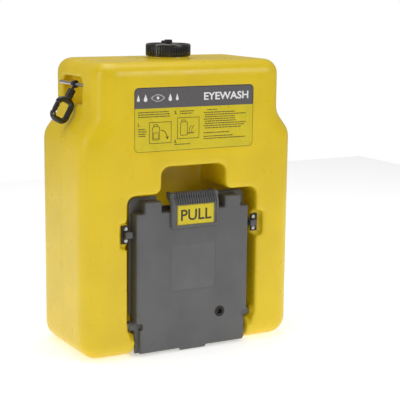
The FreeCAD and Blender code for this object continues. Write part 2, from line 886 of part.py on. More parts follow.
def riser_pipe():
    """Bent pipe with a socket over the spool's end, a closed far end and a port under each nozzle."""
    y = depth(hinge_back)
    solids = [swept(pipe_radius)]
    socket_start = V(spool_left - 4, y, hinge_height)
    socket_face = V(-(bay_half_width + tray_wall + 0.5), y, hinge_height)
    solids.append(rod(valve_bore + 2, socket_start, socket_face))
    solids.append(rod(pipe_radius, V(manifold_end, y, manifold_height),
                      V(manifold_end + pipe_plug, y, manifold_height)))
    pipe = fuse(solids)
    seat = rod(valve_bore - spool_clearance, V(spool_left, y, hinge_height), socket_face + V(1, 0, 0))
    cuts = [swept(pipe_bore), seat]
    for sign in SIDES.values():
        x = nozzle_axis(sign)
        cuts.append(rod(port_radius, V(x, y, manifold_height), V(x, y + 8, manifold_height)))
    return pipe.cut(fuse(cuts))


def nozzle(side):
    """Cup that spreads the stream, drawn as a turned section and seated on the pipe."""
    x = nozzle_axis(SIDES[side])
    base = hinge_back + 1
    neck = base + nozzle_neck_length
    rear = nozzle_rear
    profile = [(port_radius, base), (nozzle_base_radius, base), (nozzle_base_radius, neck),
               (nozzle_cup_radius, neck + 8), (nozzle_cup_radius, rear),
               (nozzle_cup_radius - nozzle_wall, rear), (nozzle_cup_radius - nozzle_wall, neck + 9),
               (port_radius, neck + 3), (port_radius, base)]
    points = [V(x + radius, depth(d), manifold_height) for radius, d in profile]
    cup = Part.Face(Part.makePolygon(points)).revolve(V(x, 0, manifold_height), Y_AXIS, 360)
    return cup.cut(manifold_run())


def nozzle_screens():
    """Perforated flow head in each cup."""
    shapes = []
    for sign in SIDES.values():
        x = nozzle_axis(sign)
        start = V(x, depth(nozzle_rear - 5), manifold_height)
        disc = rod(nozzle_cup_radius - nozzle_wall, start, start + V(0, screen_thickness, 0))
        holes = []
        for ring, count in screen_rings:
            for step in range(count):
                angle = 2 * math.pi * step / count
                centre = start + V(ring * math.cos(angle), -1, ring * math.sin(angle))
                holes.append(rod(screen_hole_radius, centre, centre + V(0, 4, 0)))
        shapes.append(disc.cut(fuse(holes)))
    return Part.makeCompound(shapes)


def pipe_clips():
    """Saddles that hold the pipe to the inside of the tray's face."""
    y = hinge_back
    places = [(riser_x, clip_height, False), (0.0, manifold_height, True)]
    shapes = []
    for x, z, level in places:
        along = clip_half_length
        across = pipe_radius + clip_side
        half_x = along if level else across
        half_z = across if level else along
        shapes.append(block(x - half_x, x + half_x, tray_front + tray_wall, y + 3, z - half_z, z + half_z))
    return Part.makeCompound([shape.cut(swept(pipe_radius)) for shape in shapes])


def filler_cap():
    centre = V(0, depth(neck_back), 0)
    body = rod(cap_radius, centre + V(0, 0, cap_bottom), centre + V(0, 0, cap_top))
    upper = edges_where(body, lambda box: box.ZMin > cap_top - 0.01)
    body = body.makeFillet(cap_edge_radius, upper)
    rim_radius = cap_radius - cap_rim_inset
    rim = tube(rim_radius, rim_radius - cap_rim_width, centre + V(0, 0, cap_top - 1),
               centre + V(0, 0, cap_top + cap_rim_height))
    body = fuse([body, rim])
    inner_top = neck_top + gasket_thickness
    cuts = [rod(neck_radius + cap_clearance, centre + V(0, 0, cap_bottom - 1), centre + V(0, 0, inner_top)),
            rod(vent_stem_radius + vent_clearance, centre + V(0, 0, inner_top - 1),
                centre + V(0, 0, cap_top + 5))]
    return body.cut(fuse(cuts))


def cap_gasket():
    centre = V(0, depth(neck_back), 0)
    return tube(neck_radius, neck_bore, centre + V(0, 0, neck_top),
                centre + V(0, 0, neck_top + gasket_thickness))


def vent_knob():
    centre = V(0, depth(neck_back), 0)
    head_start = cap_top + vent_washer_thickness
    head = rod(vent_head_radius, centre + V(0, 0, head_start), centre + V(0, 0, vent_top))
    head = head.makeFillet(2.0, edges_where(head, lambda box: box.ZMin > vent_top - 0.01))
    arm = Part.makeBox(vent_arm_length, vent_arm_width, vent_arm_height,
                       centre + V(-vent_arm_length, -vent_arm_width / 2, head_start + 1))
    stem = rod(vent_stem_radius, centre + V(0, 0, neck_top - 4), centre + V(0, 0, head_start))
    return fuse([head, arm, stem])


def vent_washer():
    centre = V(0, depth(neck_back), 0)
    return tube(vent_washer_radius, vent_stem_radius + vent_clearance, centre + V(0, 0, cap_top),
                centre + V(0, 0, cap_top + vent_washer_thickness))


def vent_clip():
    centre = V(0, depth(neck_back), 0)
    top = neck_top + gasket_thickness - vent_clip_gap
    return tube(vent_stem_radius + vent_clip_width, vent_stem_radius,
                centre + V(0, 0, top - vent_clip_thickness), centre + V(0, 0, top))


def place_hook(shape, side):
    """Move a hook piece, drawn hanging straight down from the origin, onto its bar on one side."""
    placed = shape.copy()
    placed.rotate(V(0, 0, 0), Y_AXIS, -hook_tilt)
    placed.translate(V(anchor_x, depth(hook_back), anchor_height))
    return one_side(placed, side)


def hook_swivel(side):
    """Eye that turns on the bar, with the headed stem that the hook spins on."""
    eye = rod(eye_radius, V(0, -eye_half_width, 0), V(0, eye_half_width, 0))
    stem = rod(swivel_radius, V(0, 0, 0), V(0, 0, -barrel_end + 4))
    head = rod(swivel_head_radius, V(0, 0, -barrel_end + 8), V(0, 0, -barrel_end + 4))
    hole = rod(anchor_radius + pin_clearance, V(0, -10, 0), V(0, 10, 0))
    return place_hook(fuse([eye, stem, head]).cut(hole), side)


def loop_line(x, z):
    return V(x, 0, z - loop_centre)


def snap_hook(side):
    """Barrel and loop, open on the outer side where the gate closes it."""
    w = loop_half_width
    h = loop_half_length
    outline = rounded_outline([(loop_line(-w, -h), loop_corner), (loop_line(w, -h), loop_corner),
                               (loop_line(w, h), loop_corner), (loop_line(-w, h), loop_corner)])
    start_edge = outline.Edges[1]
    section = Part.Wire(Part.Circle(start_edge.valueAt(start_edge.FirstParameter),
                                    start_edge.tangentAt(start_edge.FirstParameter), loop_bar).toShape())
    ring = Part.Wire(outline.Edges[1:] + outline.Edges[:1]).makePipeShell([section], True, False)
    barrel = rod(barrel_radius, V(0, 0, -barrel_start), V(0, 0, -barrel_end))
    hook = fuse([ring, barrel])
    cuts = [rod(swivel_radius + pin_clearance, V(0, 0, 0), V(0, 0, -barrel_end + 6)),
            rod(swivel_head_radius + 0.3, V(0, 0, -barrel_end + 8.4), V(0, 0, -barrel_end + 3.6))]
    gap = Part.makeBox(4 * loop_bar, 4 * loop_bar, gate_high - gate_low,
                       loop_line(w - 2 * loop_bar, gate_low) + V(0, -2 * loop_bar, 0))
    slot_half = gate_tongue / 2 + 0.2
    slot = Part.makeBox(4 * loop_bar, 2 * slot_half, 9, loop_line(w - 2 * loop_bar, gate_low - 9)
                        + V(0, -slot_half, 0))
    pivot = loop_line(w, pivot_height)
    pin = rod(gate_pin_radius, pivot + V(0, -20, 0), pivot + V(0, 20, 0))
    return place_hook(hook.cut(fuse(cuts + [gap, slot, pin])), side)


def hook_gate(side):
    """Spring gate: a round bar on a flat tongue that turns on the gate pin."""
    w = loop_half_width
    bar = rod(gate_bar, loop_line(w, gate_low + 3), loop_line(w, gate_high - gate_gap))
    half = gate_tongue / 2
    pivot = loop_line(w, pivot_height)
    eye = rod(gate_eye_radius, pivot + V(0, -half, 0), pivot + V(0, half, 0))
    web = Part.makeBox(2 * gate_eye_radius, gate_tongue, pivot_drop + 4,
                       pivot + V(-gate_eye_radius, -half, 0))
    hole = rod(gate_pin_radius + pin_clearance, loop_line(w, pivot_height) + V(0, -9, 0),
               loop_line(w, pivot_height) + V(0, 9, 0))
    return place_hook(fuse([bar, eye, web]).cut(hole), side)


def gate_pin(side):
    w = loop_half_width
    reach = loop_bar - 0.6
    pin = rod(gate_pin_radius, loop_line(w, pivot_height) + V(0, -reach, 0),
              loop_line(w, pivot_height) + V(0, reach, 0))
    return place_hook(pin, side)


single_pieces = [tank_shell, instruction_label, catch_screws, outlet_fitting, outlet_gasket, outlet_nut,
                 strainer, supply_tube, valve_body, tray_shell, pull_handle, pull_label, handle_screws,
                 drain_grommet, valve_spool, valve_seals, riser_pipe, nozzle_screens, pipe_clips,
                 filler_cap, cap_gasket, vent_knob, vent_washer, vent_clip]
paired_pieces = [catch_plate, catch_bolt, catch_spring, anchor_bar, hinge_pin, hinge_bush, nozzle,
                 hook_swivel, snap_hook, hook_gate, gate_pin]

os.makedirs("parts", exist_ok=True)
for make in single_pieces:
    save(make(), make.__name__)
for make in paired_pieces:
    for side in SIDES:
        save(make(side), make.__name__ + "_" + side)
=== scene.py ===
"""Looks of a portable gravity-fed eyewash station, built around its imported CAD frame. Metres."""

import math
import random

import bmesh
import bpy
from bpy.props import FloatProperty, FloatVectorProperty, IntProperty, PointerProperty
from mathutils import Matrix, Vector


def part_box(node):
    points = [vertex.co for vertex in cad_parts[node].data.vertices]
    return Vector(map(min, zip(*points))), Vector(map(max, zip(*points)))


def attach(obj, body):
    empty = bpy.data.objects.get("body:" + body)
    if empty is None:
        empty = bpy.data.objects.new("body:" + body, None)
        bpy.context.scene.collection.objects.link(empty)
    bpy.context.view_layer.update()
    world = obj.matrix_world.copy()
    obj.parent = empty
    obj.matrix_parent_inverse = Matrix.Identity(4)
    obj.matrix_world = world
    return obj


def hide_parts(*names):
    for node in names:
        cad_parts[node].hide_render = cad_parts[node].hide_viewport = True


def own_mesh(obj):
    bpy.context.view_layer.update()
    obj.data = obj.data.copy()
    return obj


bl_info = {
    "name": "Eyewash station",
    "version": (1, 0, 0),
    "blender": (4, 5, 0),
    "location": "View3D > Sidebar > Eyewash",
    "description": "Builds the tank, tray, label, cap, catches and hooks of an eyewash station",
    "category": "Object",
}

MM = 0.001
SIDES = {"left": -1, "right": 1}
BORDER_LINE = 0.6 * MM

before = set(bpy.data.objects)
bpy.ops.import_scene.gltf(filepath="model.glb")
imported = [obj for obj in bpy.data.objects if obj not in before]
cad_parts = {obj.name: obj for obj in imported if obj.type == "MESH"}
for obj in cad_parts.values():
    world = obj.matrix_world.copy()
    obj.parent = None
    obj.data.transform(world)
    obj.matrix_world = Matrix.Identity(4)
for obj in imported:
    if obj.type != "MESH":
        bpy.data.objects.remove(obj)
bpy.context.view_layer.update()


# ---------------------------------------------------------------- places read from the frame

def middle(node):
    low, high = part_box(node)
    return (low + high) / 2


tank_low, tank_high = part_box("tank_shell")
label_low, label_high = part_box("instruction_label")
tray_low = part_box("tray_shell")[0]
handle_low, handle_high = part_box("pull_handle")
pull_low, pull_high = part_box("pull_label")
cap_low, cap_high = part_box("filler_cap")
vent_low, vent_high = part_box("vent_knob")
plate_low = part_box("catch_plate_right")[0]
screws_low, screws_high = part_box("catch_screws")
TANK_FRONT = tank_low.y
CAP_AXIS = Vector((0.0, middle("filler_cap").y, 0.0))


# ---------------------------------------------------------------- sizes and colours

def length(name, description, millimetres, least=0.0):
    return FloatProperty(name=name, description=description, default=millimetres * MM,
                         min=least, unit="LENGTH", precision=5)


def count(name, description, number):
    return IntProperty(name=name, description=description, default=number, min=1)


def colour(name, description, rgb):
    return FloatVectorProperty(name=name, description=description, default=rgb, size=3,
                               min=0.0, max=1.0, subtype="COLOR")


def share(name, description, value):
    return FloatProperty(name=name, description=description, default=value, min=0.0, max=1.0,
                         subtype="FACTOR")


class EyewashTankSizes(bpy.types.PropertyGroup):
    cell: length("Skin cell", "Cell size of the moulded skin", 3.0, 0.001)
    softening: count("Softening", "Passes that round the moulded edges", 7)
    kept: share("Kept faces", "Share of the skin's faces that is kept", 1.0)
    seam_width: length("Seam width", "Width of the mould's parting line", 1.4)
    neck_radius: length("Neck radius", "Outside of the filler neck under its thread", 31.4)
    neck_bore: length("Neck bore", "Inside radius of the filler neck", 27.0)
    collar_radius: length("Collar radius", "Collar that the cap stands over", 35.8)
    thread_pitch: length("Thread pitch", "Rise of the filler thread in one turn", 6.0)
    thread_height: length("Thread height", "How far the thread stands out", 0.9)


class EyewashLabelSizes(bpy.types.PropertyGroup):
    band_height: length("Band height", "Height of the dark header band", 33.9)
    corner: length("Corner", "Corner radius of the label", 7.6)
    title_height: length("Title height", "Size of the header's letters", 17.5)
    title_bold: length("Title weight", "How much the header's letters are thickened", 0.40)
    ink: length("Ink", "Thickness of a printed layer", 0.06)
    text_line: length("Text line", "Height of a printed line of small text", 1.45)
    line_step: length("Line step", "Distance from one line of text to the next", 3.7)
    frame_line: length("Frame line", "Line width of the drawings", 0.90)


class EyewashTraySizes(bpy.types.PropertyGroup):
    cell: length("Skin cell", "Cell size of the moulded skin", 0.95, 0.0005)
    softening: count("Softening", "Passes that round the moulded edges", 14)
    kept: share("Kept faces", "Share of the skin's faces that is kept", 0.42)
    badge_width: length("Badge width", "Width of the plain field in the badge recess", 83.2)
    badge_height: length("Badge height", "Height of the plain field in the badge recess", 76.9)
    badge_low: length("Badge foot", "Height of the field's lower edge", 106.5)
    badge_sunk: length("Badge sunk", "How far the field lies under the tray's face", 0.7)
    flap_radius: length("Drain flap radius", "Rubber flap behind the drain hole", 8.6)


class EyewashHandleSizes(bpy.types.PropertyGroup):
    ribs: count("Ribs", "Grip ribs over the top of the handle", 17)
    rib_radius: length("Rib radius", "Half the width of one rib", 1.2)
    rail: length("Rail", "Width of the smooth rail on each side of the ribs", 6.6)
    rib_rise: length("Rib rise", "How far one rib stands out", 1.9)
    sunk: length("Sunk", "How far the label's field lies under the rails", 1.8)
    edge: length("Edge", "Rounding of the handle's sides", 5.0)
    foot_rail: length("Foot rail", "Height of the rail under the label", 4.6)
    letter_height: length("Letter height", "Height of the letters", 20.5)


class EyewashCapSizes(bpy.types.PropertyGroup):
    knurls: count("Knurls", "Grip ribs round the cap", 54)
    knurl_width: length("Knurl width", "Width of one grip rib", 2.5)
    knurl_depth: length("Knurl depth", "How far a grip rib stands out", 1.1)
    rim: length("Rim", "Width of the raised rim round the top", 4.2)
    dish: length("Dish", "How far the top lies under its rim", 1.5)


class EyewashCatchSizes(bpy.types.PropertyGroup):
    cell: length("Skin cell", "Cell size of the plates and thumb pieces", 0.35, 0.0002)
    softening: count("Softening", "Passes that round the plates' edges", 3)
    head_radius: length("Screw head radius", "Radius of the catch plates' screws", 3.5)
    travel: length("Catch travel", "How far a catch slides outwards", 5.0)
    head_height: length("Screw head height", "Height of the screw heads", 1.7)
    slot_width: length("Slot width", "Width of the cross recess", 0.9)


class EyewashHookSizes(bpy.types.PropertyGroup):
    cell: length("Skin cell", "Cell size of the moulded hooks", 0.55, 0.0002)
    softening: count("Softening", "Passes that round the hooks' edges", 5)


class EyewashColours(bpy.types.PropertyGroup):
    tank: colour("Tank", "Moulded yellow of the tank", (0.82, 0.590, 0.007))
    label: colour("Label", "Yellow of the printed films", (0.715, 0.575, 0.016))
    band: colour("Band", "Dark grey of the printed band", (0.095, 0.088, 0.092))
    tray: colour("Tray", "Grey of the tray", (0.125, 0.125, 0.127))
    black: colour("Black", "Black mouldings", (0.012, 0.010, 0.009))
    steel: colour("Steel", "Bright steel", (0.62, 0.62, 0.63))
    ink: colour("Ink", "Dark print", (0.040, 0.032, 0.008))
    white: colour("White", "Natural white plastic", (0.72, 0.72, 0.69))
    green: colour("Green", "Green of the spray heads", (0.02, 0.22, 0.09))
    floor: colour("Floor", "Pale studio floor", (0.86, 0.86, 0.86))


class EyewashStageSizes(bpy.types.PropertyGroup):
    focal: FloatProperty(name="Focal length", description="Lens in millimetres on a 36 mm sensor",
                         default=106.3, min=20.0)
    yaw: FloatProperty(name="Yaw", description="How far the camera is turned about the vertical",
                       default=math.radians(-29.34), subtype="ANGLE")
    pitch: FloatProperty(name="Pitch", description="How far the camera looks down",
                         default=math.radians(10.26), subtype="ANGLE")
    roll: FloatProperty(name="Roll", description="Tilt of the camera about its own axis",
                        default=math.radians(0.65), subtype="ANGLE")
    key_power: FloatProperty(name="Key light", description="Power of the large front light in watts",
                             default=21.0, min=0.0)
    fill_power: FloatProperty(name="Fill light", description="Power of the right-hand light in watts",
                              default=0.8, min=0.0)
    side_power: FloatProperty(name="Side light", description="Power of the left-hand light in watts",
                              default=11.0, min=0.0)
    surround: FloatProperty(name="Surround", description="Brightness of the white surroundings",
                            default=0.30, min=0.0)
    floor_glow: FloatProperty(name="Floor glow", description="Light that the white floor adds",
                              default=0.50, min=0.0)
    top_power: FloatProperty(name="Top light", description="Power of the overhead light in watts",
                             default=23.0, min=0.0)


def sizes(group):
    return getattr(bpy.context.scene, "eyewash_" + group)


# ---------------------------------------------------------------- materials

MIDDLE_OF_NOISE = (0.3, 0.7)


class Finish:
    """One material, with the few node shapes that its surface needs."""

    def __init__(self, name):
        self.material = bpy.data.materials.new(name)
        self.material.use_nodes = True
        self.nodes = self.material.node_tree.nodes
        self.links = self.material.node_tree.links
        self.shader = self.nodes["Principled BSDF"]
        self.place = self.nodes.new("ShaderNodeTexCoord").outputs["Object"]
        self.heights = []

    def link(self, output, socket):
        self.links.new(output, socket)

    def noise(self, cell, detail=3.0, roughness=0.5, place=None):
        """Smooth random field whose features are about one cell wide."""
        node = self.nodes.new("ShaderNodeTexNoise")
        node.inputs["Scale"].default_value = 1.0 / cell
        node.inputs["Detail"].default_value = detail
        node.inputs["Roughness"].default_value = roughness
        self.link(place or self.place, node.inputs["Vector"])
        return node.outputs["Fac"]

    def cells(self, cell):
        """Distance to the nearest of many scattered points."""
        node = self.nodes.new("ShaderNodeTexVoronoi")
        node.inputs["Scale"].default_value = 1.0 / cell
        self.link(self.place, node.inputs["Vector"])
        return node.outputs["Distance"]

    def stretch(self, factors):
        node = self.nodes.new("ShaderNodeMapping")
        node.inputs["Scale"].default_value = factors
        self.link(self.place, node.inputs["Vector"])
        return node.outputs["Vector"]

    def spread(self, field, low, high, out_low=0.0, out_high=1.0):
        node = self.nodes.new("ShaderNodeMapRange")
        node.interpolation_type = "SMOOTHSTEP"
        limits = {"From Min": low, "From Max": high, "To Min": out_low, "To Max": out_high}
        for socket, value in limits.items():
            node.inputs[socket].default_value = value
        self.link(field, node.inputs["Value"])
        return node.outputs["Result"]

    def calculate(self, operation, first, second=None):
        node = self.nodes.new("ShaderNodeMath")
        node.operation = operation
        for socket, value in zip(node.inputs, (first, second)):
            if value is None:
                continue
            if isinstance(value, (int, float)):
                socket.default_value = value
            else:
                self.link(value, socket)
        return node.outputs["Value"]

    def blend_colours(self, field, first, second):
        node = self.nodes.new("ShaderNodeMix")
        node.data_type = "RGBA"
        self.link(field, node.inputs["Factor"])
        for socket, value in zip((node.inputs[6], node.inputs[7]), (first, second)):
            if isinstance(value, bpy.types.NodeSocket):
                self.link(value, socket)
            else:
                socket.default_value = (*value, 1.0)
        return node.outputs[2]

    def shades(self, field, base, dark, bright):
        """The base colour, darker and brighter where the field is low and high."""
        middle_field = self.spread(field, *MIDDLE_OF_NOISE)
        return self.blend_colours(middle_field, tinted(base, dark), tinted(base, bright))

    def paint(self, field):
        self.link(field, self.shader.inputs["Base Color"])

    def gloss(self, field, low, high):
        self.link(self.spread(field, *MIDDLE_OF_NOISE, low, high), self.shader.inputs["Roughness"])

    def relief(self, field, depth, strength=1.0):
        """Adds a bump layer of that real depth in metres."""
        node = self.nodes.new("ShaderNodeBump")
        node.inputs["Distance"].default_value = depth
        node.inputs["Strength"].default_value = strength
        self.link(field, node.inputs["Height"])
        if self.heights:
            self.link(self.heights[-1], node.inputs["Normal"])
        self.heights.append(node.outputs["Normal"])
        self.link(node.outputs["Normal"], self.shader.inputs["Normal"])

    def set(self, **values):
        for name, value in values.items():
            self.shader.inputs[name.replace("_", " ")].default_value = value


def tinted(rgb, factor):
    return tuple(min(1.0, channel * factor) for channel in rgb)


def tank_plastic():
    """Satin blow-moulded polyethylene with a faint orange-peel skin and a parting line."""
    tank = sizes("tank")
    base = sizes("colours").tank
    finish = Finish("tank_yellow_polyethylene")
    cloud = finish.noise(0.11, 2.0)
    speck = finish.noise(0.0016, 2.0)
    scuff = finish.noise(0.0025, 4.0, 0.6, finish.stretch((1.0, 1.0, 0.2)))
    tint = finish.shades(cloud, base, 0.94, 1.05)
    worn = finish.blend_colours(finish.spread(scuff, 0.5, 0.9, 0.0, 0.05), tint, tinted(base, 1.1))
    finish.paint(worn)
    finish.gloss(finish.noise(0.018, 4.0), 0.27, 0.38)
    finish.set(Specular_IOR_Level=0.5, Subsurface_Weight=0.10, Subsurface_Scale=0.004)
    finish.shader.inputs["Subsurface Radius"].default_value = (1.0, 0.7, 0.1)
    finish.relief(finish.noise(0.0045, 2.0), 0.00012, 0.55)
    finish.relief(speck, 0.00003, 0.5)
    split = finish.nodes.new("ShaderNodeSeparateXYZ")
    finish.link(finish.place, split.inputs["Vector"])
    offset = finish.calculate("ABSOLUTE", finish.calculate("SUBTRACT", split.outputs["Y"], CAP_AXIS.y))
    finish.relief(finish.spread(offset, 0.0, tank.seam_width / 2, 1.0, 0.0), 0.0006, 0.9)
    return finish.material


def grained_plastic(name, base, grain=0.0007, depth=0.00006, low=0.42, high=0.56, specular=0.4):
    """Moulded plastic with a fine eroded grain, faint clouding and light scuffs."""
    finish = Finish(name)
    cloud = finish.noise(0.06, 3.0)
    scuff = finish.noise(0.005, 5.0, 0.65, finish.stretch((0.25, 1.0, 1.0)))
    tint = finish.shades(cloud, base, 0.92, 1.08)
    worn = finish.blend_colours(finish.spread(scuff, 0.64, 0.8, 0.0, 0.3), tint, tinted(base, 1.5))
    finish.paint(worn)
    finish.gloss(finish.noise(0.012, 4.0), low, high)
    finish.set(Specular_IOR_Level=specular)
    finish.relief(finish.noise(grain, 2.0), depth, 0.7)
    finish.relief(finish.cells(grain * 1.7), depth * 0.6, 0.4)
    return finish.material


def gloss_black(name, base):
    """Polished black moulding: handling marks show in its shine."""
    finish = Finish(name)
    marks = finish.noise(0.010, 5.0, 0.6)
    dust = finish.noise(0.0011, 4.0, 0.7)
    finish.paint(finish.blend_colours(finish.spread(dust, 0.6, 0.8, 0.0, 0.35), base, tinted(base, 4.0)))
    finish.gloss(marks, 0.13, 0.26)
    finish.set(Specular_IOR_Level=0.6, Coat_Weight=0.4, Coat_Roughness=0.08)
    finish.relief(finish.noise(0.003, 2.0), 0.00005, 0.5)
    return finish.material


def film(name, base):
    """Printed gloss film, a little uneven over its glue."""
    finish = Finish(name)
    cloud = finish.noise(0.03, 3.0)
    finish.paint(finish.shades(cloud, base, 0.96, 1.04))
    finish.gloss(finish.noise(0.009, 3.0), 0.26, 0.36)
    finish.set(Specular_IOR_Level=0.45)
    finish.relief(finish.noise(0.006, 2.0), 0.00004, 0.5)
    return finish.material


def ink(name, base):
    """Screen-printed ink: matter than the film, a little uneven in density."""
    finish = Finish(name)
    density = finish.noise(0.0016, 3.0)
    finish.paint(finish.blend_colours(finish.spread(density, 0.35, 0.75), base, tinted(base, 1.35)))
    finish.gloss(finish.noise(0.004, 3.0), 0.40, 0.52)
    finish.relief(density, 0.00002, 0.4)
    return finish.material


def bright_metal(name, base, low=0.22, high=0.38):
    """Plated steel with fine turning marks and dull patches."""
    finish = Finish(name)
    marks = finish.noise(0.0004, 3.0, 0.6, finish.stretch((1.0, 1.0, 0.15)))
    patch = finish.noise(0.004, 3.0)
    finish.paint(finish.blend_colours(finish.spread(patch, 0.35, 0.75), base, tinted(base, 0.78)))
    finish.gloss(patch, low, high)
    finish.set(Metallic=1.0)
    finish.relief(marks, 0.00002, 0.4)
    return finish.material


def black_coating(name, base):
    """Black lacquer on metal, pebbled, rubbed thin in places."""
    finish = Finish(name)
    rub = finish.noise(0.006, 4.0, 0.6)
    finish.paint(finish.blend_colours(finish.spread(rub, 0.62, 0.78, 0.0, 0.5), base, tinted(base, 5.0)))
    finish.gloss(finish.noise(0.004, 3.0), 0.22, 0.38)
    finish.set(Specular_IOR_Level=0.55, Coat_Weight=0.3, Coat_Roughness=0.2)
    finish.relief(finish.cells(0.0012), 0.00005, 0.5)
    return finish.material


def rubber(name, base):
    finish = Finish(name)
    bloom = finish.noise(0.005, 4.0)
    finish.paint(finish.blend_colours(finish.spread(bloom, 0.4, 0.75), base, tinted(base, 2.2)))
    finish.gloss(bloom, 0.62, 0.8)
    finish.relief(finish.noise(0.0009, 3.0), 0.00006, 0.6)
    return finish.material


def milky_plastic(name, base):
    """Natural polypropylene, slightly see-through and soft in its shine."""
    finish = Finish(name)
    cloud = finish.noise(0.015, 3.0)
    finish.paint(finish.shades(cloud, base, 0.93, 1.0))
    finish.gloss(finish.noise(0.008, 3.0), 0.34, 0.48)
    finish.set(Subsurface_Weight=0.25, Subsurface_Scale=0.003)
    finish.relief(finish.noise(0.0014, 2.0), 0.00004, 0.6)
    return finish.material


finishes = {}


def make_finishes():
    """Makes each material once, so that pieces share them."""
    if finishes:
        return finishes
    colours = sizes("colours")
    finishes.update(
        tank_plastic=tank_plastic(),
        label_film=film("label_yellow_film", colours.label),
        yellow_label=film("pull_yellow_film", colours.label),
        band_print=ink("band_grey_print", colours.band),
        ink_print=ink("dark_print", colours.ink),
        white_print=ink("white_print", (0.80, 0.80, 0.80)),
        grey_plastic=grained_plastic("tray_grey_grain", colours.tray),
        badge_plastic=grained_plastic("badge_grey_grain", tinted(colours.tray, 1.12), 0.0005),
        # Painted shade: the tray grey darkened to 0.3 for the bed between the handle's ribs, standing in for
        # the shade in the grooves
        groove_plastic=grained_plastic("groove_painted_shade_grain", tinted(colours.tray, 0.30), 0.0005),
        thumb_plastic=grained_plastic("thumb_grey_grain", tinted(colours.tray, 0.8), 0.0005),
        black_plastic=gloss_black("cap_black_gloss", colours.black),
        plate_plastic=grained_plastic("plate_black_grain", tinted(colours.black, 2.0), 0.0005, 0.00004,
                                      0.3, 0.42),
        steel=bright_metal("plated_steel", colours.steel),
        rubber=rubber("black_rubber", tinted(colours.black, 1.3)),
        white_plastic=milky_plastic("natural_polypropylene", colours.white),
        clear_tube=milky_plastic("water_tube", tinted(colours.white, 0.9)),
        green_plastic=grained_plastic("spray_head_green", colours.green, 0.0006, 0.00004, 0.3, 0.4),
        black_metal=black_coating("hook_black_lacquer", colours.black),
    )
    return finishes


# ---------------------------------------------------------------- mesh tools

def object_from(mesh, name):
    piece = bpy.data.objects.new(name, mesh)
    bpy.context.scene.collection.objects.link(piece)
    return piece


def mesh_from(bm, name, outward=True):
    """Turns a bmesh into a mesh, with its faces pointing outwards."""
    if outward:
        bmesh.ops.remove_doubles(bm, verts=bm.verts, dist=1e-6)
        bmesh.ops.recalc_face_normals(bm, faces=bm.faces)
    mesh = bpy.data.meshes.new(name)
    bm.to_mesh(mesh)
    bm.free()
    return mesh


def evaluated(piece, name):
    """Plain mesh of an object with its modifiers applied; the object goes."""
    bpy.context.view_layer.update()
    shape = piece.evaluated_get(bpy.context.evaluated_depsgraph_get())
    mesh = bpy.data.meshes.new_from_object(shape)
    mesh.name = name
    bpy.data.objects.remove(piece)
    return mesh


def finished(mesh, name, finish, body, replaced=(), sharp=None):
    """Puts a finished mesh in the scene on its body, in place of the nodes it stands for."""
    mesh.materials.clear()
    mesh.materials.append(make_finishes()[finish])
    mesh.polygons.foreach_set("use_smooth", [True] * len(mesh.polygons))
    mesh.polygons.foreach_set("material_index", [0] * len(mesh.polygons))
    if sharp is not None:
        mesh.set_sharp_from_angle(angle=math.radians(sharp))
    piece = object_from(mesh, name)
    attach(piece, body)
    if replaced:
        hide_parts(*replaced)
    return piece


def node_shape(node):
    """A welded copy of a CAD node's surface."""
    bm = bmesh.new()
    bm.from_mesh(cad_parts[node].data)
    bmesh.ops.remove_doubles(bm, verts=bm.verts, dist=2e-6)
    return bm


def softened(mesh, name, cell, passes, kept=1.0):
    """Reskins a closed mesh in small cells and relaxes it, as moulded plastic has no sharp edge."""
    piece = object_from(mesh, name)
    skin = piece.modifiers.new("skin", "REMESH")
    skin.mode = "VOXEL"
    skin.voxel_size = cell
    skin.adaptivity = 0.0
    relax = piece.modifiers.new("relax", "SMOOTH")
    relax.factor = 0.5
    relax.iterations = passes
    if kept < 1.0:
        thin = piece.modifiers.new("thin", "DECIMATE")
        thin.ratio = kept
    return evaluated(piece, name)


def bridge(bm, first, second):
    """Adds the closed band of faces between two rings of as many points."""
    total = len(first)
    for index in range(total):
        after = (index + 1) % total
        bm.faces.new((first[index], first[after], second[after], second[index]))


def without_doubles(bm):
    """Merges the points that a profile leaves on its axis, and drops the faces that this empties."""
    bmesh.ops.remove_doubles(bm, verts=bm.verts, dist=1e-7)
    bmesh.ops.dissolve_degenerate(bm, edges=bm.edges, dist=1e-7)


def turned(profile, name, segments=96, axis=CAP_AXIS):
    """Surface of revolution about a vertical axis through closed (radius, height) points."""
    bm = bmesh.new()
    rings = []
    for step in range(segments):
        angle = 2 * math.pi * step / segments
        rings.append([bm.verts.new((axis.x + r * math.cos(angle), axis.y + r * math.sin(angle), z))
                      for r, z in profile])
    for step, ring in enumerate(rings):
        bridge(bm, ring, rings[(step + 1) % segments])
    without_doubles(bm)
    return mesh_from(bm, name)


def arc(centre, radius, start, end, steps=8):
    """Points of an arc, angles in degrees."""
    points = []
    for step in range(steps + 1):
        angle = math.radians(start + (end - start) * step / steps)
        points.append((centre[0] + radius * math.cos(angle), centre[1] + radius * math.sin(angle)))
    return points


def soft_block(bm, low, high, edge, segments=3):
    """Adds a block with rounded edges between two corners."""
    made = bmesh.ops.create_cube(bm, size=1.0)
    size = Vector(high) - Vector(low)
    centre = (Vector(high) + Vector(low)) / 2
    place = Matrix.Translation(centre) @ Matrix.Diagonal((*size, 1.0))
    bmesh.ops.transform(bm, matrix=place, verts=made["verts"])
    edges = set()
    for vert in made["verts"]:
        edges.update(vert.link_edges)
    if edge > 0:
        bmesh.ops.bevel(bm, geom=list(edges), offset=edge, segments=segments, profile=0.5, affect="EDGES")


def flat_sheet(bm, outline, y, thickness):
    """Adds a thin upright plate with an (x, z) outline, its front at y."""
    front = [bm.verts.new((x, y, z)) for x, z in outline]
    back = [bm.verts.new((x, y + thickness, z)) for x, z in outline]
    bm.faces.new(front)
    bm.faces.new(list(reversed(back)))
    total = len(outline)
    for index in range(total):
        after = (index + 1) % total
        bm.faces.new((front[index], back[index], back[after], front[after]))


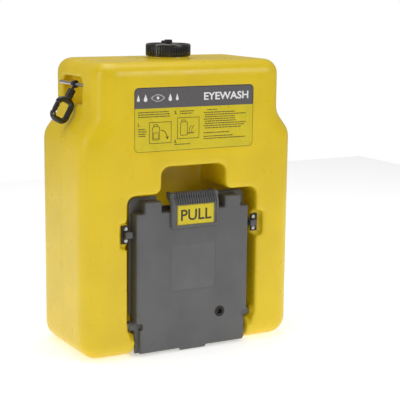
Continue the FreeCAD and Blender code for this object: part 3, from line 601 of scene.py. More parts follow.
def rounded_rectangle(x0, x1, z0, z1, low_corner, high_corner):
    points = []
    for (x, z), radius, start in (((x0, z0), low_corner, 180), ((x1, z0), low_corner, 270),
                                  ((x1, z1), high_corner, 0), ((x0, z1), high_corner, 90)):
        if radius == 0:
            points.append((x, z))
            continue
        cx = x + radius if x == x0 else x - radius
        cz = z + radius if z == z0 else z - radius
        points.extend(arc((cx, cz), radius, start, start + 90, 6))
    return points


# ---------------------------------------------------------------- repeated pieces

def copies_tree(name, in_ring):
    """Node tree that sets copies of one shape in a ring, or in rows and columns, as one mesh."""
    tree = bpy.data.node_groups.new(name, "GeometryNodeTree")
    face = tree.interface
    face.new_socket("Shape", in_out="INPUT", socket_type="NodeSocketGeometry")
    if in_ring:
        face.new_socket("Number", in_out="INPUT", socket_type="NodeSocketInt")
    else:
        face.new_socket("Columns", in_out="INPUT", socket_type="NodeSocketInt")
        face.new_socket("Rows", in_out="INPUT", socket_type="NodeSocketInt")
        face.new_socket("Column step", in_out="INPUT", socket_type="NodeSocketFloat")
        face.new_socket("Row step", in_out="INPUT", socket_type="NodeSocketFloat")
    face.new_socket("Finish", in_out="INPUT", socket_type="NodeSocketMaterial")
    face.new_socket("Copies", in_out="OUTPUT", socket_type="NodeSocketGeometry")
    nodes = tree.nodes
    links = tree.links
    source = nodes.new("NodeGroupInput").outputs
    points = nodes.new("GeometryNodePoints")
    place = nodes.new("GeometryNodeInstanceOnPoints")
    whole = nodes.new("GeometryNodeRealizeInstances")
    coat = nodes.new("GeometryNodeSetMaterial")
    result = nodes.new("NodeGroupOutput")
    index = nodes.new("GeometryNodeInputIndex").outputs[0]
    vector = nodes.new("ShaderNodeCombineXYZ")

    def calculate(operation, first, second):
        node = nodes.new("ShaderNodeMath")
        node.operation = operation
        for socket, value in zip(node.inputs, (first, second)):
            if isinstance(value, (int, float)):
                socket.default_value = value
            else:
                links.new(value, socket)
        return node.outputs[0]

    if in_ring:
        links.new(source["Number"], points.inputs["Count"])
        turn = calculate("DIVIDE", 2 * math.pi, source["Number"])
        links.new(calculate("MULTIPLY", index, turn), vector.inputs["Z"])
        links.new(vector.outputs[0], place.inputs["Rotation"])
    else:
        links.new(calculate("MULTIPLY", source["Columns"], source["Rows"]), points.inputs["Count"])
        column = calculate("MODULO", index, source["Columns"])
        row = calculate("FLOOR", calculate("DIVIDE", index, source["Columns"]), 0.0)
        links.new(calculate("MULTIPLY", column, source["Column step"]), vector.inputs["X"])
        links.new(calculate("MULTIPLY", row, source["Row step"]), vector.inputs["Z"])
        links.new(vector.outputs[0], points.inputs["Position"])
    links.new(points.outputs[0], place.inputs["Points"])
    links.new(source["Shape"], place.inputs["Instance"])
    links.new(place.outputs[0], whole.inputs[0])
    links.new(whole.outputs[0], coat.inputs["Geometry"])
    links.new(source["Finish"], coat.inputs["Material"])
    links.new(coat.outputs[0], result.inputs[0])
    return tree


def repeated(mesh, name, finish, tree, **inputs):
    """Runs a copies tree on one shape and returns the plain mesh of all of its copies."""
    piece = object_from(mesh, name)
    modifier = piece.modifiers.new("copies", "NODES")
    modifier.node_group = tree
    values = {key.replace("_", " "): value for key, value in inputs.items()}
    values["Finish"] = make_finishes()[finish]
    for item in tree.interface.items_tree:
        if item.in_out == "INPUT" and item.name in values:
            modifier[item.identifier] = values[item.name]
    return evaluated(piece, name)


def joined(meshes, name):
    bm = bmesh.new()
    for mesh in meshes:
        bm.from_mesh(mesh)
        bpy.data.meshes.remove(mesh)
    result = bpy.data.meshes.new(name)
    bm.to_mesh(result)
    bm.free()
    return result


# ---------------------------------------------------------------- tank

def outer_skin():
    """The tank's outer surface: the CAD shell without its cavity, filler neck and outlet bore."""
    tank = sizes("tank")
    bm = node_shape("tank_shell")
    cut_height = cap_low.z - 0.004
    outlet = middle("outlet_gasket")
    outlet_radius = (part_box("outlet_fitting")[1].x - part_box("outlet_fitting")[0].x) / 2
    gone = []
    for face in bm.faces:
        centre = face.calc_center_median()
        from_neck = math.hypot(centre.x, centre.y - CAP_AXIS.y)
        from_outlet = math.hypot(centre.x - outlet.x, centre.z - outlet.z)
        in_neck = from_neck < tank.neck_bore + 0.0015 and centre.z > cut_height - 0.006
        in_outlet = from_outlet < outlet_radius + 0.001 and abs(centre.y - outlet.y) < 0.012
        if in_neck or in_outlet:
            gone.append(face)
    bmesh.ops.delete(bm, geom=gone, context="FACES")
    start = min(bm.verts, key=lambda vert: vert.co.z)
    outside = {start}
    edge_of_search = [start]
    while edge_of_search:
        vert = edge_of_search.pop()
        for edge in vert.link_edges:
            other = edge.other_vert(vert)
            if other not in outside:
                outside.add(other)
                edge_of_search.append(other)
    inside = [vert for vert in bm.verts if vert not in outside]
    bmesh.ops.delete(bm, geom=inside, context="VERTS")
    whole = bm.verts[:] + bm.edges[:] + bm.faces[:]
    bmesh.ops.bisect_plane(bm, geom=whole, plane_co=(0, 0, cut_height), plane_no=(0, 0, 1),
                           clear_outer=True)
    rims = [edge for edge in bm.edges if len(edge.link_faces) == 1]
    bmesh.ops.holes_fill(bm, edges=rims, sides=0)
    return mesh_from(bm, "skin", outward=False)


def thread_coil(name, radius, height, pitch, low, high, steps=64):
    """A rounded thread ridge round the neck, fading out at both ends."""
    bm = bmesh.new()
    turns = (high - low) / pitch
    total = int(turns * steps)
    half = pitch * 0.28
    previous = None
    for step in range(total + 1):
        along = step / total
        angle = 2 * math.pi * turns * along
        fade = min(1.0, along * turns * 4, (1 - along) * turns * 4)
        z = low + (high - low) * along
        ring = []
        for shift, out in ((-half, -0.0006), (-half * 0.4, height * fade), (half * 0.4, height * fade),
                           (half, -0.0006)):
            r = radius + out
            ring.append(bm.verts.new((CAP_AXIS.x + r * math.cos(angle), CAP_AXIS.y + r * math.sin(angle),
                                      z + shift)))
        if previous is None:
            bm.faces.new(ring)
        else:
            bridge(bm, previous, ring)
        previous = ring
    bm.faces.new(list(reversed(previous)))
    return mesh_from(bm, name)


class EYEWASH_OT_tank(bpy.types.Operator):
    """Build the moulded yellow tank, its filler neck and the neck's thread"""
    bl_idname = "eyewash.tank"
    bl_label = "Tank"

    def execute(self, context):
        tank = sizes("tank")
        skin = softened(outer_skin(), "tank_body", tank.cell, tank.softening, tank.kept)
        finished(skin, "tank_body", "tank_plastic", "tank", ["tank_shell"])

        top = cap_low.z - 0.0039
        neck_top = tank_high.z
        bore = tank.neck_bore
        neck = tank.neck_radius
        collar = tank.collar_radius
        profile = [(bore, top - 0.0035), (collar + 0.0014, top - 0.0006), (collar + 0.0004, top + 0.0003)]
        profile += arc((collar - 0.001, cap_low.z - 0.0014), 0.001, 0, 90, 4)
        profile += [(neck, cap_low.z - 0.0004)]
        profile += arc((neck - 0.001, neck_top - 0.001), 0.001, 0, 90, 4)
        profile += arc((bore + 0.001, neck_top - 0.001), 0.001, 90, 180, 4)
        ring = turned(profile, "neck")
        thread = thread_coil("thread", neck, tank.thread_height, tank.thread_pitch,
                             cap_low.z + 0.003, neck_top - 0.003)
        finished(joined([ring, thread], "filler_neck"), "filler_neck", "tank_plastic", "tank",
                 ["tank_shell"], 40)
        return {"FINISHED"}


# ---------------------------------------------------------------- instruction label

def letters(text, size, extrude, name, bold=0.0):
    """Upright mesh of a short text in the built-in font, its left foot at the origin, facing -Y."""
    curve = bpy.data.curves.new(name, "FONT")
    curve.body = text
    curve.size = size
    curve.extrude = extrude / 2
    curve.offset = bold
    curve.resolution_u = 4
    mesh = evaluated(object_from(curve, name), name)
    mesh.transform(Matrix.Rotation(math.pi / 2, 4, "X"))
    return mesh


def extent(mesh):
    xs = [vert.co.x for vert in mesh.vertices]
    zs = [vert.co.z for vert in mesh.vertices]
    return min(xs), max(xs), min(zs), max(zs)


def fitted(mesh, x0, x1, z0, z1, y):
    """Stretches an upright flat mesh into a rectangle, its middle at y."""
    low_x, high_x, low_z, high_z = extent(mesh)
    scale = Matrix.Diagonal(((x1 - x0) / (high_x - low_x), 1.0, (z1 - z0) / (high_z - low_z), 1.0))
    shift = Matrix.Translation((-low_x, 0, -low_z))
    mesh.transform(Matrix.Translation((x0, y, z0)) @ scale @ shift)
    return mesh


def stroke(bm, points, width, y, thickness, closed=False):
    """Adds a printed line of one width along (x, z) points."""
    total = len(points)
    for index in range(total if closed else total - 1):
        x0, z0 = points[index]
        x1, z1 = points[(index + 1) % total]
        run = math.hypot(x1 - x0, z1 - z0)
        if run < 1e-7:
            continue
        along_x = (x1 - x0) / run * width / 2
        along_z = (z1 - z0) / run * width / 2
        outline = [(x0 - along_x + along_z, z0 - along_z - along_x),
                   (x1 + along_x + along_z, z1 + along_z - along_x),
                   (x1 + along_x - along_z, z1 + along_z + along_x),
                   (x0 - along_x - along_z, z0 - along_z + along_x)]
        flat_sheet(bm, outline, y, thickness)


def text_lines(bm, chance, x0, x1, top, lines, y, indent=0.0):
    """Adds rows of small dashes that stand for lines of small print."""
    label = sizes("label")
    shortest, longest, space = 0.0018, 0.0062, 0.0009
    z = top
    for index in range(lines):
        end = x1 - chance.uniform(0.0, 0.35) * (x1 - x0)
        x = x0 + (indent if index % 3 else 0.0)
        while x < end:
            word = chance.uniform(shortest, longest)
            outline = [(x, z - label.text_line), (min(x + word, end), z - label.text_line),
                       (min(x + word, end), z), (x, z)]
            flat_sheet(bm, outline, y, label.ink)
            x += word + space
        z -= label.line_step
    return z


def framed_drawing(bm, x0, x1, z0, z1, y, tray_open):
    """Adds a framed line drawing of the station, with its tray shut and an arrow, or open with jets."""
    label = sizes("label")
    width = label.frame_line
    inset = 0.002
    stroke(bm, [(x0, z0), (x1, z0), (x1, z1), (x0, z1)], width, y, label.ink, True)
    wide = x1 - x0
    tall = z1 - z0
    left = x0 + wide * 0.14
    right = x0 + wide * 0.46
    low = z0 + tall * 0.16
    high = z0 + tall * 0.80
    stroke(bm, rounded_rectangle(left, right, low, high, inset, 0.0035), width, y, label.ink, True)
    cap_foot = high + 0.001
    cap_top = high + 0.003
    stroke(bm, [(left + inset, cap_foot), (left + inset, cap_top), (right - 2 * inset, cap_top),
                (right - 2 * inset, cap_foot)], width, y, label.ink)
    if tray_open:
        hinge = low + tall * 0.08
        stroke(bm, [(right, hinge), (right + wide * 0.30, hinge + tall * 0.03)], width * 1.6, y, label.ink)
        for start in (0.08, 0.2):
            jet = [(right + wide * (start + 0.10 * t * t), hinge + tall * (0.06 + 0.42 * t - 0.12 * t * t))
                   for t in (0.0, 0.25, 0.5, 0.75, 1.0)]
            stroke(bm, jet, width, y, label.ink)
    else:
        tray_top = low + tall * 0.34
        stroke(bm, [(left + inset, low + inset), (right - inset, low + inset), (right - inset, tray_top),
                    (left + inset, tray_top)], width, y, label.ink, True)
        bend = [(right + wide * (0.06 + 0.30 * math.sin(math.radians(a))),
                 low + tall * (0.04 + 0.42 * math.cos(math.radians(a)))) for a in range(0, 91, 15)]
        stroke(bm, bend, width * 1.4, y, label.ink)
        tip_x, tip_z = bend[-1]
        barb = 0.0028
        stroke(bm, [(tip_x - inset, tip_z + barb), (tip_x, tip_z), (tip_x + inset, tip_z + barb)],
               width * 1.4, y, label.ink)


def water_symbol(bm, x0, x1, z0, z1, y):
    """Adds a plain sign: an open eye between two drops."""
    label = sizes("label")
    tall = z1 - z0
    centre_z = (z0 + z1) / 2
    eye_x = (x0 + x1) / 2
    half = tall * 0.95
    width = tall * 0.15
    lids = []
    for step in range(9):
        t = -1 + step / 4
        lids.append((eye_x + half * t, centre_z + tall * 0.42 * (1 - t * t)))
    for step in range(1, 8):
        t = 1 - step / 4
        lids.append((eye_x + half * t, centre_z - tall * 0.42 * (1 - t * t)))
    stroke(bm, lids, width, y, label.ink, True)
    flat_sheet(bm, arc((eye_x, centre_z), tall * 0.19, 0, 337.5, 15), y, label.ink)
    for sign in SIDES.values():
        for spacing, scale in ((1.75, 1.0), (2.75, 0.8)):
            x = eye_x + sign * tall * spacing
            radius = tall * 0.26 * scale
            drop = arc((x, centre_z - tall * 0.18), radius, -215, 35, 14)
            drop.append((x, centre_z + tall * (0.52 - 0.1 * (1 - scale))))
            flat_sheet(bm, drop, y, label.ink)


class EYEWASH_OT_label(bpy.types.Operator):
    """Build the printed instruction film in the tank's front"""
    bl_idname = "eyewash.label"
    bl_label = "Instruction label"

    def execute(self, context):
        label = sizes("label")
        left = label_low.x
        right = label_high.x
        low = label_low.z
        high = label_high.z
        front = label_low.y
        printed = front - label.ink

        bm = bmesh.new()
        flat_sheet(bm, rounded_rectangle(left, right, low, high, label.corner, label.corner), front,
                   label_high.y - label_low.y)
        finished(mesh_from(bm, "label_film"), "label_film", "label_film", "tank",
                 ["instruction_label"], 40)

        bm = bmesh.new()
        band_low = high - label.band_height
        flat_sheet(bm, rounded_rectangle(left, right, band_low, high, 0.0, label.corner), printed, label.ink)
        finished(mesh_from(bm, "label_band"), "label_band", "band_print", "tank", (), 40)

        width = right - left
        letters_low = band_low + label.band_height * 0.30
        letters_high = band_low + label.band_height * 0.68
        raised = printed - label.ink / 2
        title = letters("EYEWASH", label.title_height, label.ink, "title", label.title_bold)
        fitted(title, left + width * 0.572, left + width * 0.955, letters_low, letters_high, raised)
        finished(title, "label_title", "white_print", "tank", (), 40)
        bm = bmesh.new()
        water_symbol(bm, left + width * 0.055, left + width * 0.325, letters_low, letters_high,
                     printed - label.ink)
        finished(mesh_from(bm, "label_symbol"), "label_symbol", "white_print", "tank", (), 40)

        chance = random.Random(7)
        bm = bmesh.new()
        column = [left + width * share_of for share_of in (0.030, 0.300, 0.345, 0.530, 0.572, 0.960)]
        top = band_low - 0.0055
        edge = 0.0007
        border = rounded_rectangle(left + edge, right - edge, low + edge, high - edge,
                                   label.corner, label.corner)
        stroke(bm, border, BORDER_LINE, printed, label.ink, True)
        text_lines(bm, chance, column[0], column[1] + 0.002, top, 3, printed)
        text_lines(bm, chance, column[2] + 0.006, column[3], top - 0.0005, 2, printed)
        text_lines(bm, chance, column[0] + 0.0005, column[0] + 0.017, top - 0.0275, 4, printed)
        text_lines(bm, chance, column[2] - 0.004, column[3], top - 0.055, 1, printed)
        text_lines(bm, chance, column[4] + 0.006, column[4] + 0.026, top, 1, printed)
        text_lines(bm, chance, column[4], column[5], top - label.line_step * 1.2, 8, printed, 0.002)
        text_lines(bm, chance, column[4], column[5] - 0.03, top - label.line_step * 10.4, 1, printed)
        text_lines(bm, chance, column[4], column[5], top - label.line_step * 12.0, 2, printed)
        framed_drawing(bm, left + width * 0.122, left + width * 0.300, top - 0.052, top - 0.0175,
                       printed, False)
        framed_drawing(bm, left + width * 0.352, left + width * 0.532, top - 0.0465, top - 0.012,
                       printed, True)
        small_print = mesh_from(bm, "small_print", outward=False)
        numerals = []
        for text, across, drop in (("1.", 0.030, 0.0235), ("2.", 0.325, 0.0055), ("3.", 0.325, 0.0535)):
            x = left + width * across
            z = top - drop
            numeral = letters(text, 0.0075, label.ink, "numeral", 0.0002)
            low_x, high_x, low_z, high_z = extent(numeral)
            fitted(numeral, x, x + high_x - low_x, z, z + high_z - low_z, printed + label.ink / 2)
            numerals.append(numeral)
        finished(joined([small_print, *numerals], "label_print"), "label_print", "ink_print", "tank",
                 (), 40)
        return {"FINISHED"}


# ---------------------------------------------------------------- tray and handle

class EYEWASH_OT_tray(bpy.types.Operator):
    """Build the grey drop-down tray"""
    bl_idname = "eyewash.tray"
    bl_label = "Tray"

    def execute(self, context):
        tray = sizes("tray")
        solid = mesh_from(node_shape("tray_shell"), "tray", outward=False)
        skin = softened(solid, "tray_body", tray.cell, tray.softening, tray.kept)
        finished(skin, "tray_body", "grey_plastic", "tray", ["tray_shell"])

        face = tray_low.y
        bm = bmesh.new()
        outline = rounded_rectangle(-tray.badge_width / 2, tray.badge_width / 2,
                                    tray.badge_low, tray.badge_low + tray.badge_height, 0.0032, 0.0032)
        flat_sheet(bm, outline, face + tray.badge_sunk, 0.0012)
        finished(mesh_from(bm, "badge_field"), "badge_field", "badge_plastic", "tray", (), 40)

        drain = middle("drain_grommet")
        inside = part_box("drain_grommet")[1].y
        bm = bmesh.new()
        ring = [(drain.x + tray.flap_radius * math.cos(2 * math.pi * step / 40),
                 drain.z + tray.flap_radius * math.sin(2 * math.pi * step / 40)) for step in range(40)]
        flat_sheet(bm, ring, inside + 0.0001, 0.0012)
        finished(mesh_from(bm, "drain_flap"), "drain_flap", "rubber", "tray", (), 40)
        return {"FINISHED"}


def handle_outline(sunk):
    """Side outline (depth behind the tank's front, height) of the handle, sunk under its rails."""
    foot = sizes("handle").foot_rail
    front = handle_low.y - TANK_FRONT
    low = handle_low.z
    high = handle_high.z
    rear = tray_low.y - TANK_FRONT + 0.0001
    back = handle_high.y - TANK_FRONT
    toe, crown, brow, lip = 0.0032, 0.0150, 0.0078, 0.0022
    crown_z = high - 0.0190
    points = [(rear, low + 0.0006)]
    points += arc((front + toe, low + toe), toe, 270, 180, 5)
    points += [(front, low + foot - 0.0006), (front + sunk, low + foot + sunk * 0.4)]
    points += [(front + sunk, crown_z - 0.010)]
    points += arc((front + crown, crown_z), crown - sunk, 180, 128, 12)
    points += arc((front + 0.0105, high - brow), brow - sunk, 128, 90, 6)
    points += [(back - 0.0030, high - sunk - 0.0006)]
    points += arc((back - lip, high - 0.0028 - sunk), lip, 88, -20, 6)
    points += [(back - 0.0010, high - 0.0085), (rear + 0.0045, high - 0.0140)]
    points += [(rear, high - 0.0175)]
    return points


def along_crest(crest, section, lift, name):
    """Sweeps an (across, rise) section over the top of the handle, a lift above its field."""
    bm = bmesh.new()
    previous = None
    for index, (d, z) in enumerate(crest):
        before = crest[max(0, index - 1)]
        after = crest[min(len(crest) - 1, index + 1)]
        run = math.hypot(after[0] - before[0], after[1] - before[1])
        out_d = -(after[1] - before[1]) / run
        out_z = (after[0] - before[0]) / run
        ring = [bm.verts.new((across, TANK_FRONT + d + out_d * (rise + lift), z + out_z * (rise + lift)))
                for across, rise in section]
        if previous is None:
            bm.faces.new(list(reversed(ring)))
        else:
            bridge(bm, previous, ring)
        previous = ring
    bm.faces.new(previous)
    return mesh_from(bm, name)


class EYEWASH_OT_handle(bpy.types.Operator):
    """Build the pull handle with its grip ribs and its film"""
    bl_idname = "eyewash.handle"
    bl_label = "Pull handle"

    def execute(self, context):
        handle = sizes("handle")
        half = handle_high.x
        inner = half - handle.rail
        stations = [(half, handle.edge, 0.0)]
        for angle in (15, 30, 45, 60, 75, 90):
            turn = math.radians(angle)
            x = half - handle.edge * (1 - math.cos(turn))
            stations.append((x, handle.edge * (1 - math.sin(turn)), 0.0))
        stations += [(inner + 0.0009, 0.0, 0.0), (inner + 0.0003, 0.0, 0.25), (inner, 0.0, 0.9),
                     (inner - 0.0004, 0.0, 1.0)]
        ordered = [(-x, pull, sunk) for x, pull, sunk in stations] + [
            (x, pull, sunk) for x, pull, sunk in reversed(stations)]
        centre_d = tray_low.y - TANK_FRONT
        centre_z = (handle_low.z + handle_high.z) / 2
        bm = bmesh.new()
        rings = []
        for x, pull, sunk in ordered:
            ring = []
            for d, z in handle_outline(handle.sunk * sunk):
                shrink = pull if centre_d - d > 0.0005 else 0.0
                d_in = min(d + shrink, centre_d) if d < centre_d else max(d - pull * 3, centre_d)
                z_in = z - pull if z > centre_z else z + pull * 0.9
                ring.append(bm.verts.new((x, TANK_FRONT + d_in, z_in)))
            rings.append(ring)
        for first, second in zip(rings, rings[1:]):
            bridge(bm, first, second)
        bm.faces.new(list(reversed(rings[0])))
        bm.faces.new(rings[-1])
        finished(mesh_from(bm, "handle_body"), "handle_body", "grey_plastic", "tray",
                 ["pull_handle"], 32)

        film_top = pull_high.z
        path = [(d, z) for d, z in handle_outline(handle.sunk) if z > film_top + 0.0004]
        path = [point for point in path if point[0] < handle_high.y - TANK_FRONT - 0.001]
        path = [(path[0][0], film_top + 0.0008)] + path
        crest = [(d, z) for d, z in path if z <= handle_high.z - 0.007 or d <= 0.010]
        section = [(handle.rib_radius * math.cos(math.radians(angle)),
                    handle.rib_rise * math.sin(math.radians(angle))) for angle in range(0, 360, 30)]
        # The rib bed is a dark sheet under the ribs: painted shade in the grooves between them
        bed_half = inner - 0.0006
        bed_deep = -0.0006
        bed_section = [(bed_half, 0.0), (-bed_half, 0.0), (-bed_half, bed_deep), (bed_half, bed_deep)]
        bed = along_crest(crest, bed_section, 0.00012, "rib_bed")
        finished(bed, "rib_bed", "groove_plastic", "tray", (), 40)
        span = 2 * (inner - 0.0022)
        step = span / (handle.ribs - 1)
        ribs = repeated(along_crest(crest, section, 0.0, "rib"), "handle_ribs", "grey_plastic",
                        copies_tree("rows_of_copies", False), Columns=handle.ribs, Rows=1,
                        Column_step=step, Row_step=0.0)
        ribs.transform(Matrix.Translation((-span / 2, 0, 0)))
        finished(ribs, "handle_ribs", "grey_plastic", "tray", (), 60)

        bm = bmesh.new()
        film_depth = 0.0005
        face = handle_low.y + handle.sunk - film_depth
        outline = rounded_rectangle(pull_low.x, pull_high.x, pull_low.z, pull_high.z, 0.0008, 0.0008)
        flat_sheet(bm, outline, face, film_depth)
        finished(mesh_from(bm, "pull_film"), "pull_film", "yellow_label", "tray",
                 ["pull_label"], 40)
        ink_depth = 0.00006
        word = letters("PULL", handle.letter_height, ink_depth, "word", 0.00035)
        wide = pull_high.x - pull_low.x
        tall = pull_high.z - pull_low.z
        fitted(word, pull_low.x + wide * 0.095, pull_high.x - wide * 0.075, pull_low.z + tall * 0.215,
               pull_low.z + tall * 0.775, face - ink_depth / 2)
        bm = bmesh.new()
        inset = 0.0009
        stroke(bm, [(pull_low.x + inset, pull_low.z + inset), (pull_high.x - inset, pull_low.z + inset),
                    (pull_high.x - inset, pull_high.z - inset), (pull_low.x + inset, pull_high.z - inset)],
               BORDER_LINE, face - ink_depth, ink_depth, True)
        border = mesh_from(bm, "border", outward=False)
        finished(joined([word, border], "pull_word"), "pull_word", "ink_print", "tray",
                 (), 40)
        return {"FINISHED"}


# ---------------------------------------------------------------- cap and vent

class EYEWASH_OT_cap(bpy.types.Operator):
    """Build the black screw cap with its grip ribs, and the vent knob on it"""
    bl_idname = "eyewash.cap"
    bl_label = "Filler cap and vent"

    def execute(self, context):
        cap = sizes("cap")
        outer = cap_high.x
        low = cap_low.z
        top = cap_high.z
        grip = outer - cap.knurl_depth
        inner = sizes("tank").neck_radius + 0.0013
        roof = top - 0.0040
        stem = 0.0034
        profile = [(inner, low + 0.0004), (inner + 0.0006, low), (outer - 0.0008, low), (outer, low + 0.0008)]
        profile += [(outer, low + 0.0018), (grip, low + 0.0026), (grip, top - 0.0042)]
        shoulder = 0.0030
        profile += arc((outer - shoulder, top - shoulder), shoulder, 0, 90, 8)
        rim = outer - cap.rim
        rim_edge = 0.0006
        profile += arc((rim, top - rim_edge), rim_edge, 90, 180, 3)
        dish = top - cap.dish
        groove = dish - 0.0005
        profile += [(rim - 0.0012, dish + 0.0002), (rim - 0.0020, dish)]
        profile += [(0.0250, dish), (0.0244, groove), (0.0232, groove), (0.0226, dish)]
        profile += [(0.0105, dish), (0.0098, dish + 0.0009), (0.0080, dish + 0.0010), (stem, dish + 0.0010)]
        profile += [(stem, roof), (inner - 0.0040, roof), (inner, roof - 0.0020)]
        body = turned(profile, "cap", 128)
        bm = bmesh.new()
        soft_block(bm, (grip - 0.0012, -cap.knurl_width / 2, low + 0.0022),
                   (outer, cap.knurl_width / 2, top - 0.0032), 0.0006, 2)
        knurls = repeated(mesh_from(bm, "knurl"), "knurls", "black_plastic",
                          copies_tree("ring_of_copies", True), Number=cap.knurls)
        knurls.transform(Matrix.Translation(CAP_AXIS))
        finished(joined([body, knurls], "filler_cap"), "filler_cap_body", "black_plastic", "cap",
                 ["filler_cap"], 35)

        head = 0.0070
        base = dish + 0.0018
        high = vent_high.z
        stem_low = vent_low.z
        profile = [(0.0, stem_low), (0.0026, stem_low), (0.0030, stem_low + 0.0004), (0.0030, base - 0.0002)]
        profile += [(head - 0.0008, base), (head, base + 0.0008), (head - 0.0004, high - 0.0016)]
        profile += arc((head - 0.0014, high - 0.0010), 0.0010, 10, 90, 4)
        hollow = high - 0.0006
        profile += [(0.0034, high), (0.0028, hollow), (0.0, hollow)]
        knob = turned(profile, "knob", 48)
        bm = bmesh.new()
        arm_half = 0.0026
        tail_half = 0.0022
        tail_end = 0.0088
        soft_block(bm, (vent_low.x, CAP_AXIS.y - arm_half, high - 0.0052),
                   (-0.0040, CAP_AXIS.y + arm_half, high - 0.0014), 0.0012, 3)
        soft_block(bm, (0.0045, CAP_AXIS.y - tail_half, high - 0.0050),
                   (min(vent_high.x, tail_end), CAP_AXIS.y + tail_half, high - 0.0018), 0.0009, 3)
        arm = mesh_from(bm, "arm", outward=False)
        bm = bmesh.new()
        soft_block(bm, (0.0066, -0.0006, base + 0.0008), (0.00705, 0.0006, high - 0.0020), 0.0002, 1)
        grips = repeated(mesh_from(bm, "grip"), "grips", "black_plastic",
                         copies_tree("ring_of_grips", True), Number=18)
        grips.transform(Matrix.Translation(CAP_AXIS))
        limit = max(abs(vent_low.x), tail_end)
        shape = joined([knob, arm, grips], "vent_knob")
        for vert in shape.vertices:
            vert.co.x = max(-limit, min(limit, vert.co.x))
        finished(shape, "vent_knob_body", "plate_plastic", "vent", ["vent_knob"], 35)
        return {"FINISHED"}


# ---------------------------------------------------------------- catches

def screw_head(radius, height, slot):
    """A pan head facing -Y with a cross recess, its seat at the origin."""
    bm = bmesh.new()
    profile = [(0.0, 0.0), (radius, 0.0), (radius, -height * 0.35)]
    profile += [(radius * math.cos(math.radians(a)), -height * (0.35 + 0.65 * math.sin(math.radians(a))))
                for a in (20, 40, 60, 75)]
    profile += [(slot * 1.9, -height)]
    segments = 32
    rings = []
    for step in range(segments):
        angle = 2 * math.pi * step / segments
        rings.append([bm.verts.new((r * math.cos(angle), y, r * math.sin(angle))) for r, y in profile])
    for step, ring in enumerate(rings):
        following = rings[(step + 1) % segments]
        for index in range(len(profile) - 1):
            bm.faces.new((ring[index], ring[index + 1], following[index + 1], following[index]))
    without_doubles(bm)
    deep = -height + slot * 0.9
    arms = []
    for quarter in range(4):
        turn = quarter * math.pi / 2
        for x, z in ((slot / 2, slot / 2), (slot / 2, slot * 1.6), (-slot / 2, slot * 1.6)):
            arms.append((x * math.cos(turn) - z * math.sin(turn), x * math.sin(turn) + z * math.cos(turn)))
    lip = [bm.verts.new((x, -height, z)) for x, z in arms]
    floor = [bm.verts.new((x * 0.7, deep, z * 0.7)) for x, z in arms]
    bridge(bm, lip, floor)
    bm.faces.new(floor)
    outer = [edge for edge in bm.edges if len(edge.link_faces) == 1]
    bmesh.ops.triangle_fill(bm, edges=outer, use_beauty=True)
    return mesh_from(bm, "screw_head")


class EYEWASH_OT_catches(bpy.types.Operator):
    """Build the black catch plates, their screws and the grey thumb pieces"""
    bl_idname = "eyewash.catches"
    bl_label = "Catches"

    def execute(self, context):
        catch = sizes("catches")
        for side in SIDES:
            plate = mesh_from(node_shape("catch_plate_" + side), "plate", outward=False)
            plate = softened(plate, "plate_" + side, catch.cell, catch.softening, 0.5)
            finished(plate, "catch_plate_body_" + side, "plate_plastic", "tank",
                     ["catch_plate_" + side])
            bolt = mesh_from(node_shape("catch_bolt_" + side), "bolt", outward=False)
            bolt = softened(bolt, "bolt_" + side, catch.cell, catch.softening, 0.5)
            finished(bolt, "catch_thumb_" + side, "thumb_plastic", "catch_" + side,
                     ["catch_bolt_" + side])
        seat = plate_low.y
        radius = catch.head_radius
        rise = screws_high.z - screws_low.z - 2 * radius
        across = screws_high.x - radius
        head = screw_head(radius, min(catch.head_height, seat - screws_low.y), catch.slot_width)
        shank = turned([(0.0, -0.012), (0.0013, -0.010), (0.0016, 0.0), (0.0, 0.0)], "shank", 16,
                       Vector((0, 0, 0)))
        shank.transform(Matrix.Rotation(-math.pi / 2, 4, "X") @ Matrix.Rotation(math.pi, 4, "X"))
        for vert in shank.vertices:
            vert.co.y = abs(vert.co.y)
        screw = joined([head, shank], "screw")
        screws = repeated(screw, "catch_screws", "steel", copies_tree("rows_of_screws", False),
                          Columns=2, Rows=2, Column_step=2 * across, Row_step=rise)
        screws.transform(Matrix.Translation((-across, seat, screws_low.z + radius)))
        finished(screws, "catch_screw_heads", "steel", "tank", ["catch_screws"], 35)
        return {"FINISHED"}


# ---------------------------------------------------------------- hooks

class EYEWASH_OT_hooks(bpy.types.Operator):
    """Build the snap hooks with their swivels and gates"""
    bl_idname = "eyewash.hooks"
    bl_label = "Snap hooks"

    def execute(self, context):
        hook = sizes("hooks")
        for side in SIDES:
            for node, body in (("snap_hook_", "hook_"), ("hook_gate_", "gate_"), ("hook_swivel_", "swivel_")):
                solid = mesh_from(node_shape(node + side), node, outward=False)
                shape = softened(solid, node + side, hook.cell, hook.softening, 0.6)
                finished(shape, node + "body_" + side, "black_metal", body + side,
                         [node + side])
        return {"FINISHED"}


# ---------------------------------------------------------------- catch springs

class EYEWASH_OT_springs(bpy.types.Operator):
    """Build the catch springs from the frame's own coils"""
    bl_idname = "eyewash.springs"
    bl_label = "Catch springs"

    def execute(self, context):
        for side in SIDES:
            node = "catch_spring_" + side
            low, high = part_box(node)
            free_length = high.x - low.x
            coil = mesh_from(node_shape(node), "coil", outward=False)
            piece = finished(coil, "catch_coil_" + side, "steel", "tank", [node], 40)
            (free_length - sizes("catches").travel) / free_length
            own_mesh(piece)
        return {"FINISHED"}


# ---------------------------------------------------------------- spray heads

class EYEWASH_OT_spray(bpy.types.Operator):
    """Build the spray heads' cups with their rows of small jets"""
    bl_idname = "eyewash.spray"
    bl_label = "Spray heads"

    def execute(self, context):
        for side in SIDES:
            solid = mesh_from(node_shape("nozzle_" + side), "nozzle", outward=False)
            shape = softened(solid, "nozzle_" + side, 0.0006, 3, 0.5)
            finished(shape, "spray_head_" + side, "green_plastic", "tray",
                     ["nozzle_" + side])
        return {"FINISHED"}


# ---------------------------------------------------------------- pieces kept from the frame

